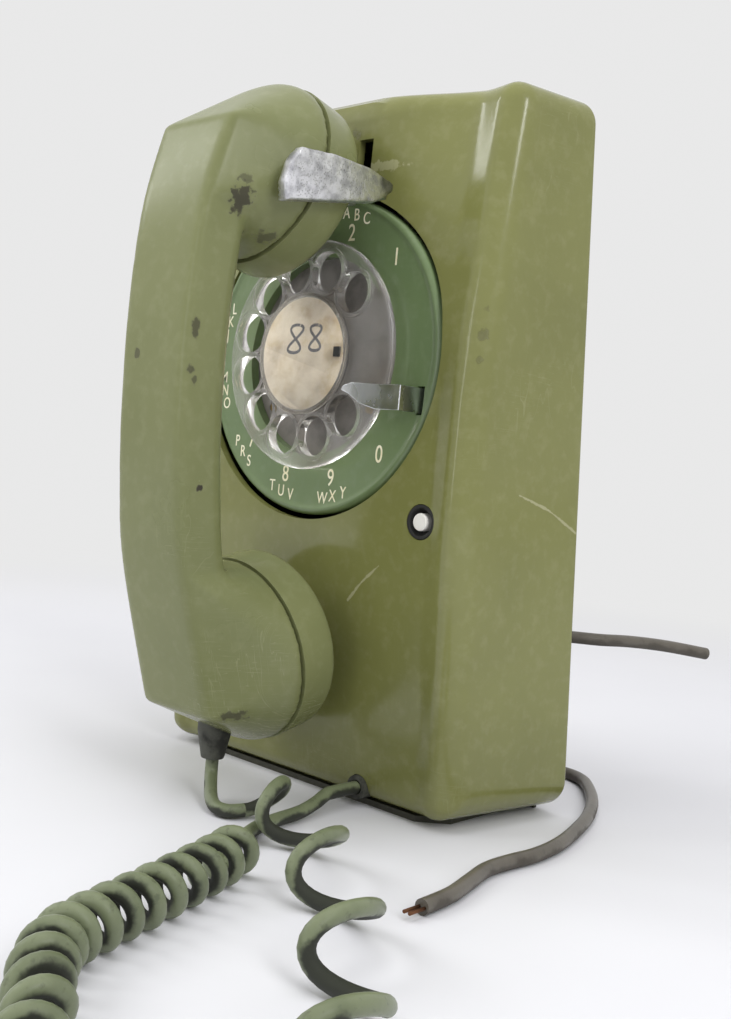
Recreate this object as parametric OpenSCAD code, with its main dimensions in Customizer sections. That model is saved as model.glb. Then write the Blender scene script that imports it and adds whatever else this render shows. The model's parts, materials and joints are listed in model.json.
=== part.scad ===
// Rotary wall telephone, standing on a table with its handset on the hook.
// Millimetres, +Z up, the front faces -Y, X = 0 is the plane of symmetry of the body.
// The origin is on the foot flange, under the middle of the housing's depth.

/* [Housing] */
// Height of the side rails at the front
body_h = 235; // [225:1:245]
// Depth of the housing at its foot
body_d = 64; // [58:1:72]
// Depth of the housing at its top
top_d = 42.6; // [40:0.2:46]
// Width across the front rails
front_w = 142; // [138:1:146]
// Width across the back
back_w = 157; // [152:1:162]
// Wall of the moulded housing
wall = 2.8; // [2:0.2:3.2]
// How far the side rails stand proud of the front panel
rail_h = 2; // [1:0.5:3]
// Radius of the side rails
rail_r = 6; // [4:0.5:7]
// Roundover along the panel's top and foot
panel_r = 8; // [6:0.5:10]
// Lift of the housing's front edge above the table
front_lift = 3; // [3:0.5:5]
// How far the rails' tops lie behind their middle
bow_top = 10; // [8:0.5:11]
// How far the front's foot lies behind its middle
bow_foot = 6; // [4:0.5:7]

/* [Base] */
// Thickness of the steel base plate
plate_t = 1.5; // [1:0.1:2]
// Thickness of the foot flange
flange_t = 2; // [1.6:0.1:2.4]
// Diameter of the holes for the wall screws
wall_hole_d = 5.2; // [4:0.1:6]
// Distance across between the wall screws
wall_hole_span = 70; // [60:1:90]
// Height of the wall screws above the foot
wall_hole_z = 178; // [174:1:182]

/* [Dial] */
// Height of the dial's axis
dial_z = 149; // [146:1:152]
// Diameter of the number plate
plate_d = 109; // [104:1:110]
// Clear gap between number plate and housing
plate_gap = 1.5; // [1:0.25:2]
// Number plate face behind the front panel
plate_recess = 2.3; // [2:0.1:2.6]
// Diameter of the finger wheel
wheel_d = 78; // [74:1:80]
// Thickness of the finger wheel
wheel_t = 3; // [2.5:0.25:3.5]
// Diameter of a finger hole
finger_d = 13.6; // [12:0.2:14]
// Radius of the circle of finger holes
finger_ring_r = 28.6; // [28:0.2:29]
// Number of finger holes
finger_count = 10; // [10]
// Angle between finger holes
finger_step = 30; // [30]
// Diameter of the number card
card_d = 38; // [36:0.5:38]
// Diameter of the dial shaft
shaft_d = 6.3; // [5:0.1:7]
// Module of the dial's gear teeth
tooth_m = 0.8; // [0.7:0.05:0.85]

/* [Hook] */
// Height of the hook's pivot
hook_z = 208; // [206:1:210]
// Diameter of the hook's pivot pin
hook_pin_d = 4; // [3:0.1:5]
// Distance of each arm's middle from the plane of symmetry
arm_x = 15; // [14:0.5:16]
// Thickness of an arm
arm_t = 4; // [3:0.5:5]
// Thickness of a prong
prong_t = 3.6; // [3:0.2:4]
// Height of the slots above the pivot
slot_rise = 13; // [10:1:14]

/* [Button] */
// Sideways place of the push button
button_x = 54; // [52:0.5:54.5]
// Height of the push button
button_z = 97; // [94:1:100]
// Diameter of the plunger
button_d = 5.6; // [5:0.1:6]
// Diameter of the bush round the plunger
bush_d = 11; // [10:0.5:12]
// Lip of the bush behind the front panel
bush_lip = 2; // [1:0.5:2]
// Travel of the plunger
button_travel = 3; // [2:0.5:3]

/* [Handset] */
// Diameter of the receiver cap
rx_d = 60; // [57:0.5:60]
// Diameter of the transmitter cap
tx_d = 62; // [59:0.5:62]
// Height of the receiver cap's middle
rx_z = 199.4; // [198:0.2:201]
// Height of the transmitter cap's middle
tx_z = 52.7; // [51:0.1:54]
// Tilt of the receiver cap
rx_tilt = 12.3; // [11:0.1:13]
// Tilt of the transmitter cap
tx_tilt = 13.4; // [11:0.1:13.4]
// Gap between the receiver cap's middle and the front panel
rx_gap = 15; // [14:0.5:17]
// Gap between the transmitter cap's middle and the front panel
tx_gap = 6.7; // [6.7:0.1:9]
// Height of a cap
cap_h = 15.7; // [14:0.1:16]
// Width of the handle
handle_w = 34; // [32:1:38]
// Thickness of the handle
handle_t = 18; // [16:1:20]

/* [Cords] */
// Diameter of the curly cord
cord_d = 4.3; // [3.9:0.1:4.3]
// Diameter of the line cables
cable_d = 4.4; // [4:0.1:4.8]

/* [Hidden] */
$fn = 64;
fit = 0.3;
run = 0.05;
big = 400;

// Places along the depth: the rails, the panel and the leaning back
rail_y = -body_d / 2;
panel_y = rail_y + rail_h;
inner_y = panel_y + wall;
back_y = body_d / 2;
lean = atan((body_d - top_d) / body_h);
back_h = body_h / cos(lean);
panel_h = body_h - rail_h;
panel_half = front_w / 2 - rail_r - 1.7;
foot_z = flange_t + fit;
foot_y = panel_y + bow_foot;
// Rounded bars under the panel's skin: half length, front, height and radius
panel_bars = [[panel_half, panel_y, dial_z - 61, panel_r], [panel_half, panel_y, dial_z + 8, panel_r],
    [20, panel_y + 1.5, body_h - panel_r, panel_r],
    [panel_half - 1, rail_y + bow_top + 4, panel_h - 5, 5],
    [panel_half, foot_y, front_lift + rail_h + 6, 6]];
// Rounded ends under a rail's skin: height, distance behind the rail's middle
rail_ends = [[front_lift + rail_r, bow_foot], [dial_z - 49, 0], [dial_z - 14, 0], [body_h - rail_r, bow_top]];
screw_y = 14;
function back_at(z) = back_y - z * tan(lean) - plate_t / cos(lean);

// Dial stack from the front panel backwards
plate_r = plate_d / 2;
opening_r = plate_r + plate_gap;
plate_y = panel_y + plate_recess;
frame_t = 2;
frame_y = plate_y + 3.4;
frame_back = frame_y + frame_t;
frame_r = 50;
wheel_back = plate_y - 3;
wheel_y = wheel_back - wheel_t;
collar_h = 0.8;
hub_r = card_d / 2 + 1.6;
hub_y = wheel_y - collar_h;
card_t = 0.5;
shaft_r = shaft_d / 2;
shaft_front = hub_y + 2.2;
gear_y = frame_back + 3.2;
gear_t = 2;
cross_y = gear_y + 12;
shaft_back = cross_y + 2;
first_hole = 45;
main_teeth = 60;
pulse_teeth = 15;
gov_teeth = 12;
mesh_gap = 0.15;
pulse_angle = 216;
gov_angle = 324;
function pitch_r(n) = n * tooth_m / 2;
pulse_c = pitch_r(main_teeth) + pitch_r(pulse_teeth) + mesh_gap;
gov_c = pitch_r(main_teeth) + pitch_r(gov_teeth) + mesh_gap;
pulse_x = pulse_c * cos(pulse_angle);
pulse_z = dial_z + pulse_c * sin(pulse_angle);
gov_x = gov_c * cos(gov_angle);
gov_z = dial_z + gov_c * sin(gov_angle);
leg_x = 42;
sheet_t = 1.5;
tab_x = 36;

// Hook places
hook_y = -8;
pin_r = hook_pin_d / 2;
ear_x = 22;
slot_foot = dial_z + sqrt(pow(opening_r, 2) - pow(arm_x - arm_t / 2 - 1, 2)) + 0.9;
web_y = panel_y - 9;
web_t = 4.5;

// Button places
plunger_end = panel_y + 18;

// Ringer places
gong_z = 42;
gong_rs = [22, 20];
gong_front = 2;
gong_h = 12;
ball_r = 4.5;
ball_gap = 6.5;
gong_xs = [-(gong_rs[0] + ball_r + ball_gap), gong_rs[1] + ball_r + ball_gap];
clap_z = 84;
clap_y = 8;

// Handset places
rx_y = panel_y - rx_gap;
tx_y = panel_y - tx_gap;
rx_r = rx_d / 2;
tx_r = tx_d / 2;
cap_wall = 2.4;
cap_round = 5;
bowl_deep = cap_h + 6;
ridge_r = 2.5;
soft_r = 6;

// Cord places
cord_r = cord_d / 2;
cable_r = cable_d / 2;
exit_x = 32;
exit_z = 6.5;
grommet_r = 4;
relief_y = -60;
relief_tip_z = 13.5;
side_hole = [30, 14];
back_hole = [45, 57];

// A local frame on the leaning back: y = 0 is the back face, z runs up along it
module at_back() {
    translate([0, back_y, 0]) rotate([lean, 0, 0]) children();
}

// A rod along Y, from y0 to y1
module rod_y(x, z, r, y0, y1) {
    translate([x, y1, z]) rotate([90, 0, 0]) cylinder(r = r, h = y1 - y0);
}

// A box given by its low and high corners
module box(low, high) {
    translate(low) cube(high - low);
}

// A plate in the YZ plane: its 2-D child is drawn in (y, z)
module yz_plate(x0, t) {
    translate([x0, 0, 0]) rotate([90, 0, 90]) linear_extrude(t) children();
}

// A turned piece whose profile (radius, depth) is drawn from y backwards
module turned_y(x, z, y) {
    translate([x, y, z]) rotate([-90, 0, 0]) rotate_extrude($fn = 96) children();
}

// Frame of a handset end: z = 0 on the cap's face, z grows away from the front panel
module at_rx() {
    translate([0, rx_y, rx_z]) rotate([90 - rx_tilt, 0, 0]) children();
}
module at_tx() {
    translate([0, tx_y, tx_z]) rotate([90 + tx_tilt, 0, 0]) children();
}

// Four short posts at the corners of a rectangle on the back
module back_corners(w, z0, z1, r, y0, y1) {
    for (x = [r - w / 2, w / 2 - r], z = [z0 + r, z1 - r])
        at_back() rod_y(x, z, r, y0, y1);
}

// The housing: a bowed panel between two rounded side rails, hollow and open at the back
module panel_skin(t) {
    for (b = panel_bars) translate([t / 3 - b[0], b[1] + b[3], b[2]]) rotate([0, 90, 0])
        cylinder(r = b[3] - t, h = 2 * (b[0] - t / 3));
}
module panel_body() {
    hull($fn = 32) {
        panel_skin(0);
        back_corners(back_w - 9, foot_z + 1.3, back_h - rail_h - 0.3, 5, -2, -0.4);
    }
}
module side_rail(s) {
    hull($fn = 32) {
        for (e = rail_ends)
            translate([s * (front_w / 2 - rail_r), rail_y + e[1] + rail_r, e[0]]) sphere(r = rail_r);
        for (x = [back_w / 2 - 5, back_w / 2 - 14], z = [foot_z + 5, back_h - 5])
            at_back() rod_y(s * x, z, 5, -1, 0);
    }
}
module housing_hollow() {
    hull($fn = 32) {
        panel_skin(wall);
        back_corners(back_w - 2 * wall, foot_z + wall, back_h - rail_h - wall, 3, -1, 6);
    }
}
module housing() color("#7a7846") {
    difference() {
        union() {
            difference() {
                union() {
                    panel_body();
                    side_rail(1);
                    side_rail(-1);
                }
                housing_hollow();
            }
            translate([0, screw_y, foot_z]) cylinder(r = 4.5, h = 13);
        }
        translate([0, screw_y, -1]) cylinder(r = 2 + fit / 2, h = 14);
        rod_y(0, dial_z, opening_r, rail_y - 5, inner_y + 4);
        for (s = [-1, 1])
            box([s * arm_x - arm_t / 2 - 1, rail_y - 5, slot_foot],
                [s * arm_x + arm_t / 2 + 1, inner_y + 4, hook_z + slot_rise]);
        rod_y(button_x, button_z, bush_d / 2 + fit / 2, rail_y - 5, inner_y + 4);
        rod_y(button_x, button_z, bush_d / 2 + bush_lip + fit, inner_y, inner_y + 5);
        rod_y(exit_x, exit_z, grommet_r + fit / 2, rail_y - 5, foot_y + wall + 6);
        at_back() box([-back_w / 2 + wall - fit, -plate_t - fit, -5],
            [back_w / 2 - wall + fit, 5, foot_z + 12]);
    }
}

// Base plate: a steel back with a folded foot flange
module base_plate() color("#5d5f5c") {
    w = back_w / 2 - wall - fit;
    difference() {
        union() {
            at_back() box([-w, -plate_t, 0], [w, 0, back_h - rail_h - wall - fit]);
            box([-front_w / 2 + 9, rail_y + 10, 0], [front_w / 2 - 9, back_at(0), flange_t]);
        }
        box([-big, -big, -big], [big, big, 0]);
        for (s = [-1, 1]) at_back() translate([s * w, 0, back_h - rail_h - wall - fit])
            rotate([0, 45, 0]) cube([3.6, 9, 3.6], center = true);
        for (x = [-wall_hole_span / 2, wall_hole_span / 2])
            at_back() rod_y(x, wall_hole_z, wall_hole_d / 2, -5, 5);
        for (h = [side_hole, back_hole]) at_back() rod_y(h[0], h[1], cable_r + fit, -5, 5);
        translate([0, screw_y, -0.01]) cylinder(r1 = 4.2, r2 = 2.2, h = 2);
        translate([0, screw_y, -1]) cylinder(r = 2.2, h = 5);
    }
}
module housing_screw() color("#8a8a86") {
    translate([0, screw_y, 0.2]) cylinder(r1 = 3.9, r2 = 2, h = 1.9);
    translate([0, screw_y, 2.1]) cylinder(r = 2, h = 9);
}

// Number plate: a dished ring with a rounded, slightly raised rim
module number_plate() color("#56715a") {
    difference() {
        turned_y(0, dial_z, plate_y) {
            translate([34, 0]) square([plate_r - 34 - 2, frame_y - plate_y]);
            translate([plate_r - 2, 1.5]) circle(r = 2);
            translate([plate_r - 2, 1.5]) square([2, frame_y - plate_y - 1.5]);
        }
        translate([0, 0, dial_z]) box([46.2, plate_y - 2, -18.6], [49, frame_y + 1, -9.4]);
    }
}

// Finger wheel: a clear disc with collared finger holes and a hub for the card
module finger_ring() {
    for (i = [0 : finger_count - 1]) {
        a = first_hole + i * finger_step;
        translate([finger_ring_r * cos(a), 0, finger_ring_r * sin(a)]) children();
    }
}
module finger_wheel() color("#b9b6b2", 0.6) translate([0, 0, dial_z]) {
    difference() {
        union() {
            turned_y(0, 0, wheel_y) {
                square([wheel_d / 2 - 1.5, wheel_t]);
                translate([wheel_d / 2 - 1.5, wheel_t / 2]) circle(r = wheel_t / 2);
            }
            rod_y(0, 0, hub_r, hub_y, wheel_back);
            rod_y(0, 0, 7, wheel_back, frame_y - 0.6);
            finger_ring() rod_y(0, 0, finger_d / 2 + 1.5, hub_y, wheel_back);
        }
        finger_ring() rod_y(0, 0, finger_d / 2, hub_y - 1, wheel_back + 2);
        rod_y(0, 0, shaft_r + run, shaft_front - 0.1, 0);
    }
}
module number_card() color("#d9c9ac") {
    rod_y(0, dial_z, card_d / 2, hub_y - card_t, hub_y);
}
module card_retainer() color("#d8d6d0", 0.5) {
    turned_y(0, dial_z, hub_y - card_t - 1.3) {
        square([hub_r - 0.6, 1.2]);
        translate([hub_r - 0.6, 0.6]) circle(r = 0.6);
        translate([card_d / 2 + 0.3, 0.6]) square([hub_r - card_d / 2 - 0.3, card_t + 0.7]);
    }
}

// Finger stop: a bent strip that rises beside the plate and reaches over the wheel
module finger_stop() color("#c9ccd0") {
    stop_y = hub_y - card_t - 3.2;
    translate([0, 0, dial_z - 14]) {
        box([46.8, stop_y, -4], [48, frame_y, 4]);
        translate([0, stop_y + 1.2, 0]) rotate([90, 0, 0]) linear_extrude(1.2) {
            translate([38, -4]) square([10, 8]);
            polygon([[38, -4], [38, 4], [27, 4.4], [23, 3.4], [22.4, 1.8], [26, 0.6], [31, -2.4]]);
        }
    }
}

// Dial frame: the plate that carries number plate, gears and springs
module dial_frame() color("#8e9096") translate([0, 0, dial_z]) {
    difference() {
        union() {
            rod_y(0, 0, frame_r, frame_y, frame_back);
            box([40, frame_y, -18.4], [49.6, frame_back, -9.6]);
            rod_y(0, 0, 6, frame_back, gear_y - 0.4);
        }
        rod_y(0, 0, shaft_r + run, -big, big);
        rod_y(pulse_x, pulse_z - dial_z, 1.5 + run, -big, big);
        rod_y(gov_x, gov_z - dial_z, 1.5 + run, -big, big);
        for (s = [-1, 1]) rod_y(s * tab_x, 0, 1.6, frame_back - 1.5, frame_back + 1);
    }
}
module bracket_leg(s) {
    x = s > 0 ? leg_x : -leg_x - sheet_t;
    difference() {
        box([x, frame_back, dial_z - 15], [x + sheet_t, back_y, dial_z + 15]);
        at_back() box([-big, -plate_t, -big], [big, big, big]);
    }
    difference() {
        box([s > 0 ? tab_x - 5 : -leg_x - sheet_t, frame_back, dial_z - 6],
            [s > 0 ? leg_x + sheet_t : 5 - tab_x, frame_back + sheet_t, dial_z + 6]);
        rod_y(s * tab_x, dial_z, 1.7, -big, big);
    }
    at_back() box([s > 0 ? leg_x : -leg_x - 12, -plate_t - sheet_t, dial_z - 16],
        [s > 0 ? leg_x + 12 : -leg_x, -plate_t, dial_z + 12]);
}
module dial_bracket() color("#777a7c") {
    bracket_leg(1);
    bracket_leg(-1);
    difference() {
        box([-leg_x, cross_y, dial_z - 10], [leg_x, cross_y + sheet_t, dial_z + 10]);
        rod_y(0, dial_z, shaft_r + run, -big, big);
    }
}
module dial_shaft() color("#a9abad") {
    rod_y(0, dial_z, shaft_r, shaft_front, shaft_back);
}

// Straight-flanked spur gear in the XZ plane, with a tooth centred on angle start
module spur(teeth, start, t) {
    p = pitch_r(teeth);
    half = 360 / teeth * 0.21;
    rotate([90, 0, 0]) linear_extrude(t) {
        circle(r = p - 1.15 * tooth_m);
        for (i = [0 : teeth - 1]) rotate(start + i * 360 / teeth)
            polygon([for (k = [[-1.25, -1.5], [0, -1], [0.8, -0.5], [0.8, 0.5], [0, 1], [-1.25, 1.5]])
                let (r = p + k[0] * tooth_m, a = k[1] * half) [r * cos(a), r * sin(a)]]);
    }
}
module main_gear() color("#b59a5a") translate([0, gear_y + gear_t, dial_z]) difference() {
    spur(main_teeth, pulse_angle, gear_t);
    rod_y(0, 0, shaft_r + run, -big, big);
    for (a = [45 : 90 : 315])
        translate([13.5 * cos(a), 0, 13.5 * sin(a)]) rod_y(0, 0, 4.5, -big, big);
}
module pulse_gear() color("#c8b06a") translate([pulse_x, 0, pulse_z]) {
    translate([0, gear_y + gear_t + 0.4, 0])
        spur(pulse_teeth, pulse_angle + 180 + 180 / pulse_teeth, gear_t + 0.8);
    rod_y(0, 0, 1.5, frame_y + 0.2, gear_y + 7);
    translate([0, gear_y + 6, 0]) rotate([90, 0, 0]) linear_extrude(2) difference() {
        circle(r = 8.5);
        for (a = [0, 180]) rotate(a) translate([9.5, 0]) circle(r = 3.5);
    }
}
module governor_shaft() color("#c8b06a") translate([gov_x, 0, gov_z]) {
    translate([0, gear_y + gear_t + 0.4, 0])
        spur(gov_teeth, gov_angle + 180 + 180 / gov_teeth, gear_t + 0.8);
    rod_y(0, 0, 1.5, frame_y + 0.2, gear_y + 9);
    for (s = [-1, 1]) {
        box([s > 0 ? 0 : -5, gear_y + 6, -1], [s > 0 ? 5 : 0, gear_y + 8, 1]);
        rod_y(s * 5, 0, 1.6, gear_y + 5.5, gear_y + 8.5);
    }
}
module governor_cup() color("#9a9c9f") {
    difference() {
        union() {
            rod_y(gov_x, gov_z, 9, gear_y + 4.4, gear_y + 11);
            box([gov_x + 8, gear_y + 8, gov_z - 3], [leg_x, gear_y + 9.5, gov_z + 3]);
        }
        rod_y(gov_x, gov_z, 7.6, gear_y + 4, gear_y + 9.6);
    }
}

// Flat spiral spring round the dial shaft
function polar(a, r) = [r * cos(a), r * sin(a)];
module main_spring() color("#6f7276") {
    turns = 3;
    r0 = shaft_r + fit;
    grow = 2.2;
    band = 0.7;
    translate([0, cross_y - 1.5, dial_z]) rotate([90, 0, 0]) linear_extrude(4) polygon(concat(
        [for (a = [0 : 15 : 360 * turns]) polar(a, r0 + grow * a / 360)],
        [for (a = [360 * turns : -15 : 0]) polar(a, r0 + band + grow * a / 360)]));
}
module pulse_springs() color("#b48a4a") {
    x = pulse_x - 8.5 - fit;
    box([x - 6, frame_back, pulse_z - 14], [x, gear_y + 8, pulse_z - 8]);
    for (k = [0, 2]) box([x - k - 0.4, gear_y + 3.5, pulse_z - 8], [x - k, gear_y + 6.5, pulse_z + 8]);
}
module dial_screws() color("#8a8a86") {
    for (s = [-1, 1]) {
        rod_y(s * tab_x, dial_z, 1.5, frame_back - 1.3, frame_back + sheet_t);
        rod_y(s * tab_x, dial_z, 3, frame_back + sheet_t, frame_back + sheet_t + 2);
    }
}

// Hook: a fork with two prongs that cup the receiver end from both sides
module prong(s) {
    top = rx_z + 6;
    intersection() {
        yz_plate(s > 0 ? 15 : -45, 30) polygon([[web_y + 5, top - 2.2], [web_y - 6, top],
            [web_y - 22, top], [web_y - 36, top - 1.4], [web_y - 39, top - 5.4], [web_y - 39.6, top - 11.4],
            [web_y - 36.6, top - 16.7], [web_y - 18.4, top - 13.4], [web_y - 3.5, top - 10.3],
            [web_y + 2, top - 6.9], [web_y + 5, top - 4.5]]);
        difference() {
            at_rx() translate([0, 0, -40]) cylinder(r = rx_r + 0.8 + prong_t, h = 100);
            at_rx() translate([0, 0, -45]) cylinder(r = rx_r + 0.8, h = 110);
        }
    }
}
module hook_arm(s) {
    yz_plate(s * arm_x - arm_t / 2, arm_t) polygon([[hook_y, hook_z + 4], [hook_y, hook_z - 4],
        [frame_y, slot_foot + 0.6], [panel_y - 1.2, slot_foot + 0.6], [panel_y - 3, hook_z - 10],
        [web_y, hook_z - 10], [web_y, hook_z - 3], [panel_y, hook_z + 2]]);
    box([s > 0 ? arm_x - arm_t / 2 : -rx_r - 2, web_y, hook_z - 10],
        [s > 0 ? rx_r + 2 : -arm_x + arm_t / 2, web_y + web_t, hook_z - 5]);
    prong(s);
}
module hook_lever() color("#9c9a96") {
    difference() {
        union() {
            for (s = [-1, 1]) hook_arm(s);
            translate([-ear_x + 0.4, hook_y, hook_z]) rotate([0, 90, 0])
                cylinder(r = pin_r + 2.6, h = 2 * ear_x - 0.8);
            yz_plate(-3, 6) polygon([[hook_y, hook_z + 4], [hook_y + 12, hook_z + 6],
                [hook_y + 12, hook_z + 4], [hook_y, hook_z]]);
        }
        translate([-big / 2, hook_y, hook_z]) rotate([0, 90, 0]) cylinder(r = pin_r + run, h = big);
    }
}
module hook_bracket() color("#777a7c") {
    difference() {
        for (x = [ear_x, -ear_x - sheet_t])
            box([x, hook_y - 5, hook_z - 8], [x + sheet_t, back_y, hook_z + 8]);
        at_back() box([-big, -plate_t, -big], [big, big, big]);
        translate([-big / 2, hook_y, hook_z]) rotate([0, 90, 0]) cylinder(r = pin_r + run, h = big);
    }
    at_back() box([-ear_x - sheet_t, -plate_t - sheet_t, hook_z - 8], [ear_x + sheet_t, -plate_t, hook_z + 7]);
}
module hook_pin() color("#a9abad") {
    translate([-ear_x - 4, hook_y, hook_z]) rotate([0, 90, 0]) cylinder(r = pin_r, h = 2 * ear_x + 8);
}
module hook_spring() color("#6f7276") {
    translate([5, hook_y, hook_z]) rotate([0, 90, 0]) difference() {
        cylinder(r = pin_r + 4, h = 6);
        translate([0, 0, -1]) cylinder(r = pin_r + 2.6 + fit, h = 8);
    }
}
module hook_switch() color("#4a3a2c") {
    difference() {
        box([-6, hook_y + 8, hook_z - 18], [6, back_y, hook_z - 8]);
        at_back() box([-big, -plate_t - sheet_t, -big], [big, big, big]);
    }
    for (y = [hook_y + 9, hook_y + 10.6]) box([-2.5, y, hook_z - 8], [2.5, y + 0.5, hook_z + 0.5]);
}

// Ringer
module ringer_frame() color("#8e9096") {
    difference() {
        at_back() box([-52, -plate_t - sheet_t, gong_z - 14], [52, -plate_t, clap_z + 6]);
        at_back() rod_y(back_hole[0], back_hole[1], cable_r + fit, -9, 5);
    }
    for (i = [0, 1]) rod_y(gong_xs[i], gong_z, 3, gong_front + 1.6 + fit, back_at(gong_z) - 0.8);
}
module ringer_coil() color("#7b4a2a") {
    difference() {
        union() {
            translate([0, 16, gong_z + 11]) cylinder(r = 7, h = 22);
            for (z = [gong_z + 9, gong_z + 33]) translate([0, 16, z]) cylinder(r = 8, h = 2);
        }
        at_back() box([-big, -plate_t - sheet_t - 0.1, -big], [big, big, big]);
    }
}
module gong(i) {
    r = gong_rs[i];
    turned_y(gong_xs[i], gong_z, gong_front) difference() {
        intersection() {
            translate([0, r * 1.2]) circle(r = r * 1.2);
            square([r, gong_h]);
        }
        translate([0, r * 1.2]) circle(r = r * 1.2 - 1.6);
        translate([0, -1]) square([2 + run, 4]);
    }
}
module gong_left() color("#b3a468") {
    gong(0);
}
module gong_right() color("#b3a468") {
    gong(1);
}
module gong_screws() color("#8a8a86") {
    for (i = [0, 1]) {
        rod_y(gong_xs[i], gong_z, 3.4, gong_front - 1.6, gong_front);
        rod_y(gong_xs[i], gong_z, 2, gong_front, gong_front + 1.6);
    }
}
module clapper() color("#a9abad") {
    difference() {
        union() {
            rod_y(0, clap_z, 4, clap_y - 4.5, clap_y - 0.5);
            translate([0, clap_y - 2.5, gong_z + 3]) cylinder(r = 1.1, h = clap_z - gong_z - 4);
            translate([0, clap_y - 1, gong_z]) sphere(r = ball_r);
        }
        rod_y(0, clap_z, 1.5 + run, -big, big);
    }
}
module clapper_pin() color("#a9abad") {
    rod_y(0, clap_z, 1.5, clap_y - 6, back_at(clap_z) - sheet_t - 0.2);
}

// Network block with its terminal screws
module network_block() color("#8c8a80") {
    at_back() box([-50, -24, 98], [30, -plate_t, 128]);
}
module terminal_screws() color("#b59a5a") {
    for (x = [-44 : 12 : 28], z = [104, 122]) at_back() rod_y(x, z, 2.6, -25.6, -24);
}

// Push button
module button() color("#e8e6e0") {
    rod_y(button_x, button_z, button_d / 2, panel_y - 0.4, plunger_end);
    rod_y(button_x, button_z, button_d / 2 + 1.4, panel_y + 6.6, panel_y + 7.8);
}
module button_bush() color("#1c1c1a") {
    difference() {
        union() {
            rod_y(button_x, button_z, bush_d / 2, panel_y, panel_y + 6);
            rod_y(button_x, button_z, bush_d / 2 + bush_lip, inner_y + 0.2, inner_y + 1.6);
        }
        rod_y(button_x, button_z, button_d / 2 + run, -big, big);
        translate([button_x, panel_y - 0.01, button_z]) rotate([-90, 0, 0])
            cylinder(r1 = bush_d / 2 - 1, r2 = button_d / 2, h = 3);
    }
}
module button_spring() color("#9a9c9f") {
    difference() {
        rod_y(button_x, button_z, button_d / 2 + 1.2, panel_y + 8, plunger_end + button_travel);
        rod_y(button_x, button_z, button_d / 2 + fit, -big, big);
    }
}
module button_switch() color("#2a2a2a") {
    box([button_x - 7, plunger_end + button_travel + 0.2, button_z - 7],
        [button_x + 7, plunger_end + button_travel + 12, button_z + 7]);
}
module switch_bracket() color("#777a7c") {
    difference() {
        box([button_x + 7, plunger_end + button_travel + 1, button_z - 7],
            [button_x + 7 + sheet_t, back_y, button_z + 7]);
        at_back() box([-big, -plate_t, -big], [big, big, big]);
    }
    at_back() box([button_x - 5, -plate_t - sheet_t, button_z - 7],
        [button_x + 7 + sheet_t, -plate_t, button_z + 6]);
}

// Handset
module cap(r) {
    rotate_extrude($fn = 96) difference() {
        union() {
            translate([0, 1.2]) square([r - cap_round, cap_h - 1.2]);
            translate([r - cap_round, cap_round]) circle(r = cap_round);
            translate([r - 2 * cap_round, cap_round]) square([2 * cap_round, cap_h - cap_round]);
        }
        translate([-r, cap_wall + 1.2]) square([2 * r - cap_wall - 0.2, cap_h]);
        translate([0, -60 + 2]) circle(r = 60);
        translate([-2 * r, -1]) square([2 * r, 40]);
    }
}
module cap_holes(rings) {
    translate([0, 0, -1]) cylinder(r = 1.1, h = 8);
    for (ring = rings, i = [0 : ring[1] - 1])
        rotate(i * 360 / ring[1]) translate([ring[0], 0, -1]) cylinder(r = 1.1, h = 8);
}
module receiver_cap() color("#80845c") at_rx() difference() {
    cap(rx_r);
    cap_holes([[6, 6]]);
}
module transmitter_cap() color("#80845c") at_tx() difference() {
    cap(tx_r);
    cap_holes([[6, 6], [12, 12]]);
}
// A slice of the handle: a flat outer face with crisp ridges, rounder towards the front panel
function corner(x, y, r, from) = [for (i = [0 : 5]) [x + r * cos(from + 18 * i), y + r * sin(from + 18 * i)]];
function slice_outline(half) = concat(
    corner(half - ridge_r - 1, ridge_r, ridge_r, 270), corner(half - soft_r, handle_t - soft_r, soft_r, 0),
    corner(soft_r - half, handle_t - soft_r, soft_r, 90), corner(1 + ridge_r - half, ridge_r, ridge_r, 180));
// Each slice: height, outer face, extra half width
slices = [[31, -77.5, 1], [76, -91.2, 0.4], [101, -95.1, 0], [127, -97, -0.3], [158, -97, 0], [188, -94.2, 0.6],
    [213, -87.6, 1.5]];
module handle_slice(i) {
    translate([0, slices[i][1], slices[i][0]]) linear_extrude(0.3)
        polygon(slice_outline(handle_w / 2 + slices[i][2]));
}
// One end of the handset: the round bowl behind a cap, drawn out to the end of the handle
module bowl_outer(r) {
    translate([0, 0, cap_h + fit / 2]) cylinder(r = r, h = 3);
    translate([0, 0, cap_h + 8]) cylinder(r = r - 3, h = 0.5);
    translate([0, 0, cap_h + 14]) cylinder(r = r - 8, h = 0.5);
    translate([0, 0, cap_h + 19]) cylinder(r = r - 13.2, h = 0.5);
}
module bowl_spigot(r) {
    translate([0, 0, cap_h - 6.5]) cylinder(r = r - cap_wall - 0.5, h = 9);
}
module bowl_hollow(r) {
    translate([0, 0, -1]) cylinder(r = r - cap_wall - 3, h = bowl_deep + 1);
}
module handset_shell() color("#80845c") {
    difference() {
        union() {
            for (i = [1 : 4]) hull() {
                handle_slice(i);
                handle_slice(i + 1);
            }
            hull() {
                at_tx() bowl_outer(tx_r - 0.4);
                handle_slice(0);
                handle_slice(1);
            }
            hull() {
                at_rx() bowl_outer(rx_r - 0.4);
                handle_slice(5);
                handle_slice(6);
            }
            at_rx() bowl_spigot(rx_r);
            at_tx() bowl_spigot(tx_r);
        }
        at_rx() bowl_hollow(rx_r);
        at_tx() bowl_hollow(tx_r);
        translate([0, relief_y, relief_tip_z - 1]) cylinder(r = 5.6 + fit / 2, h = 18);
    }
}
module receiver_unit() color("#3a3b3d") at_rx() {
    translate([0, 0, 4.2]) cylinder(r = rx_r - cap_wall - 3 - fit, h = 12);
}
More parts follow.
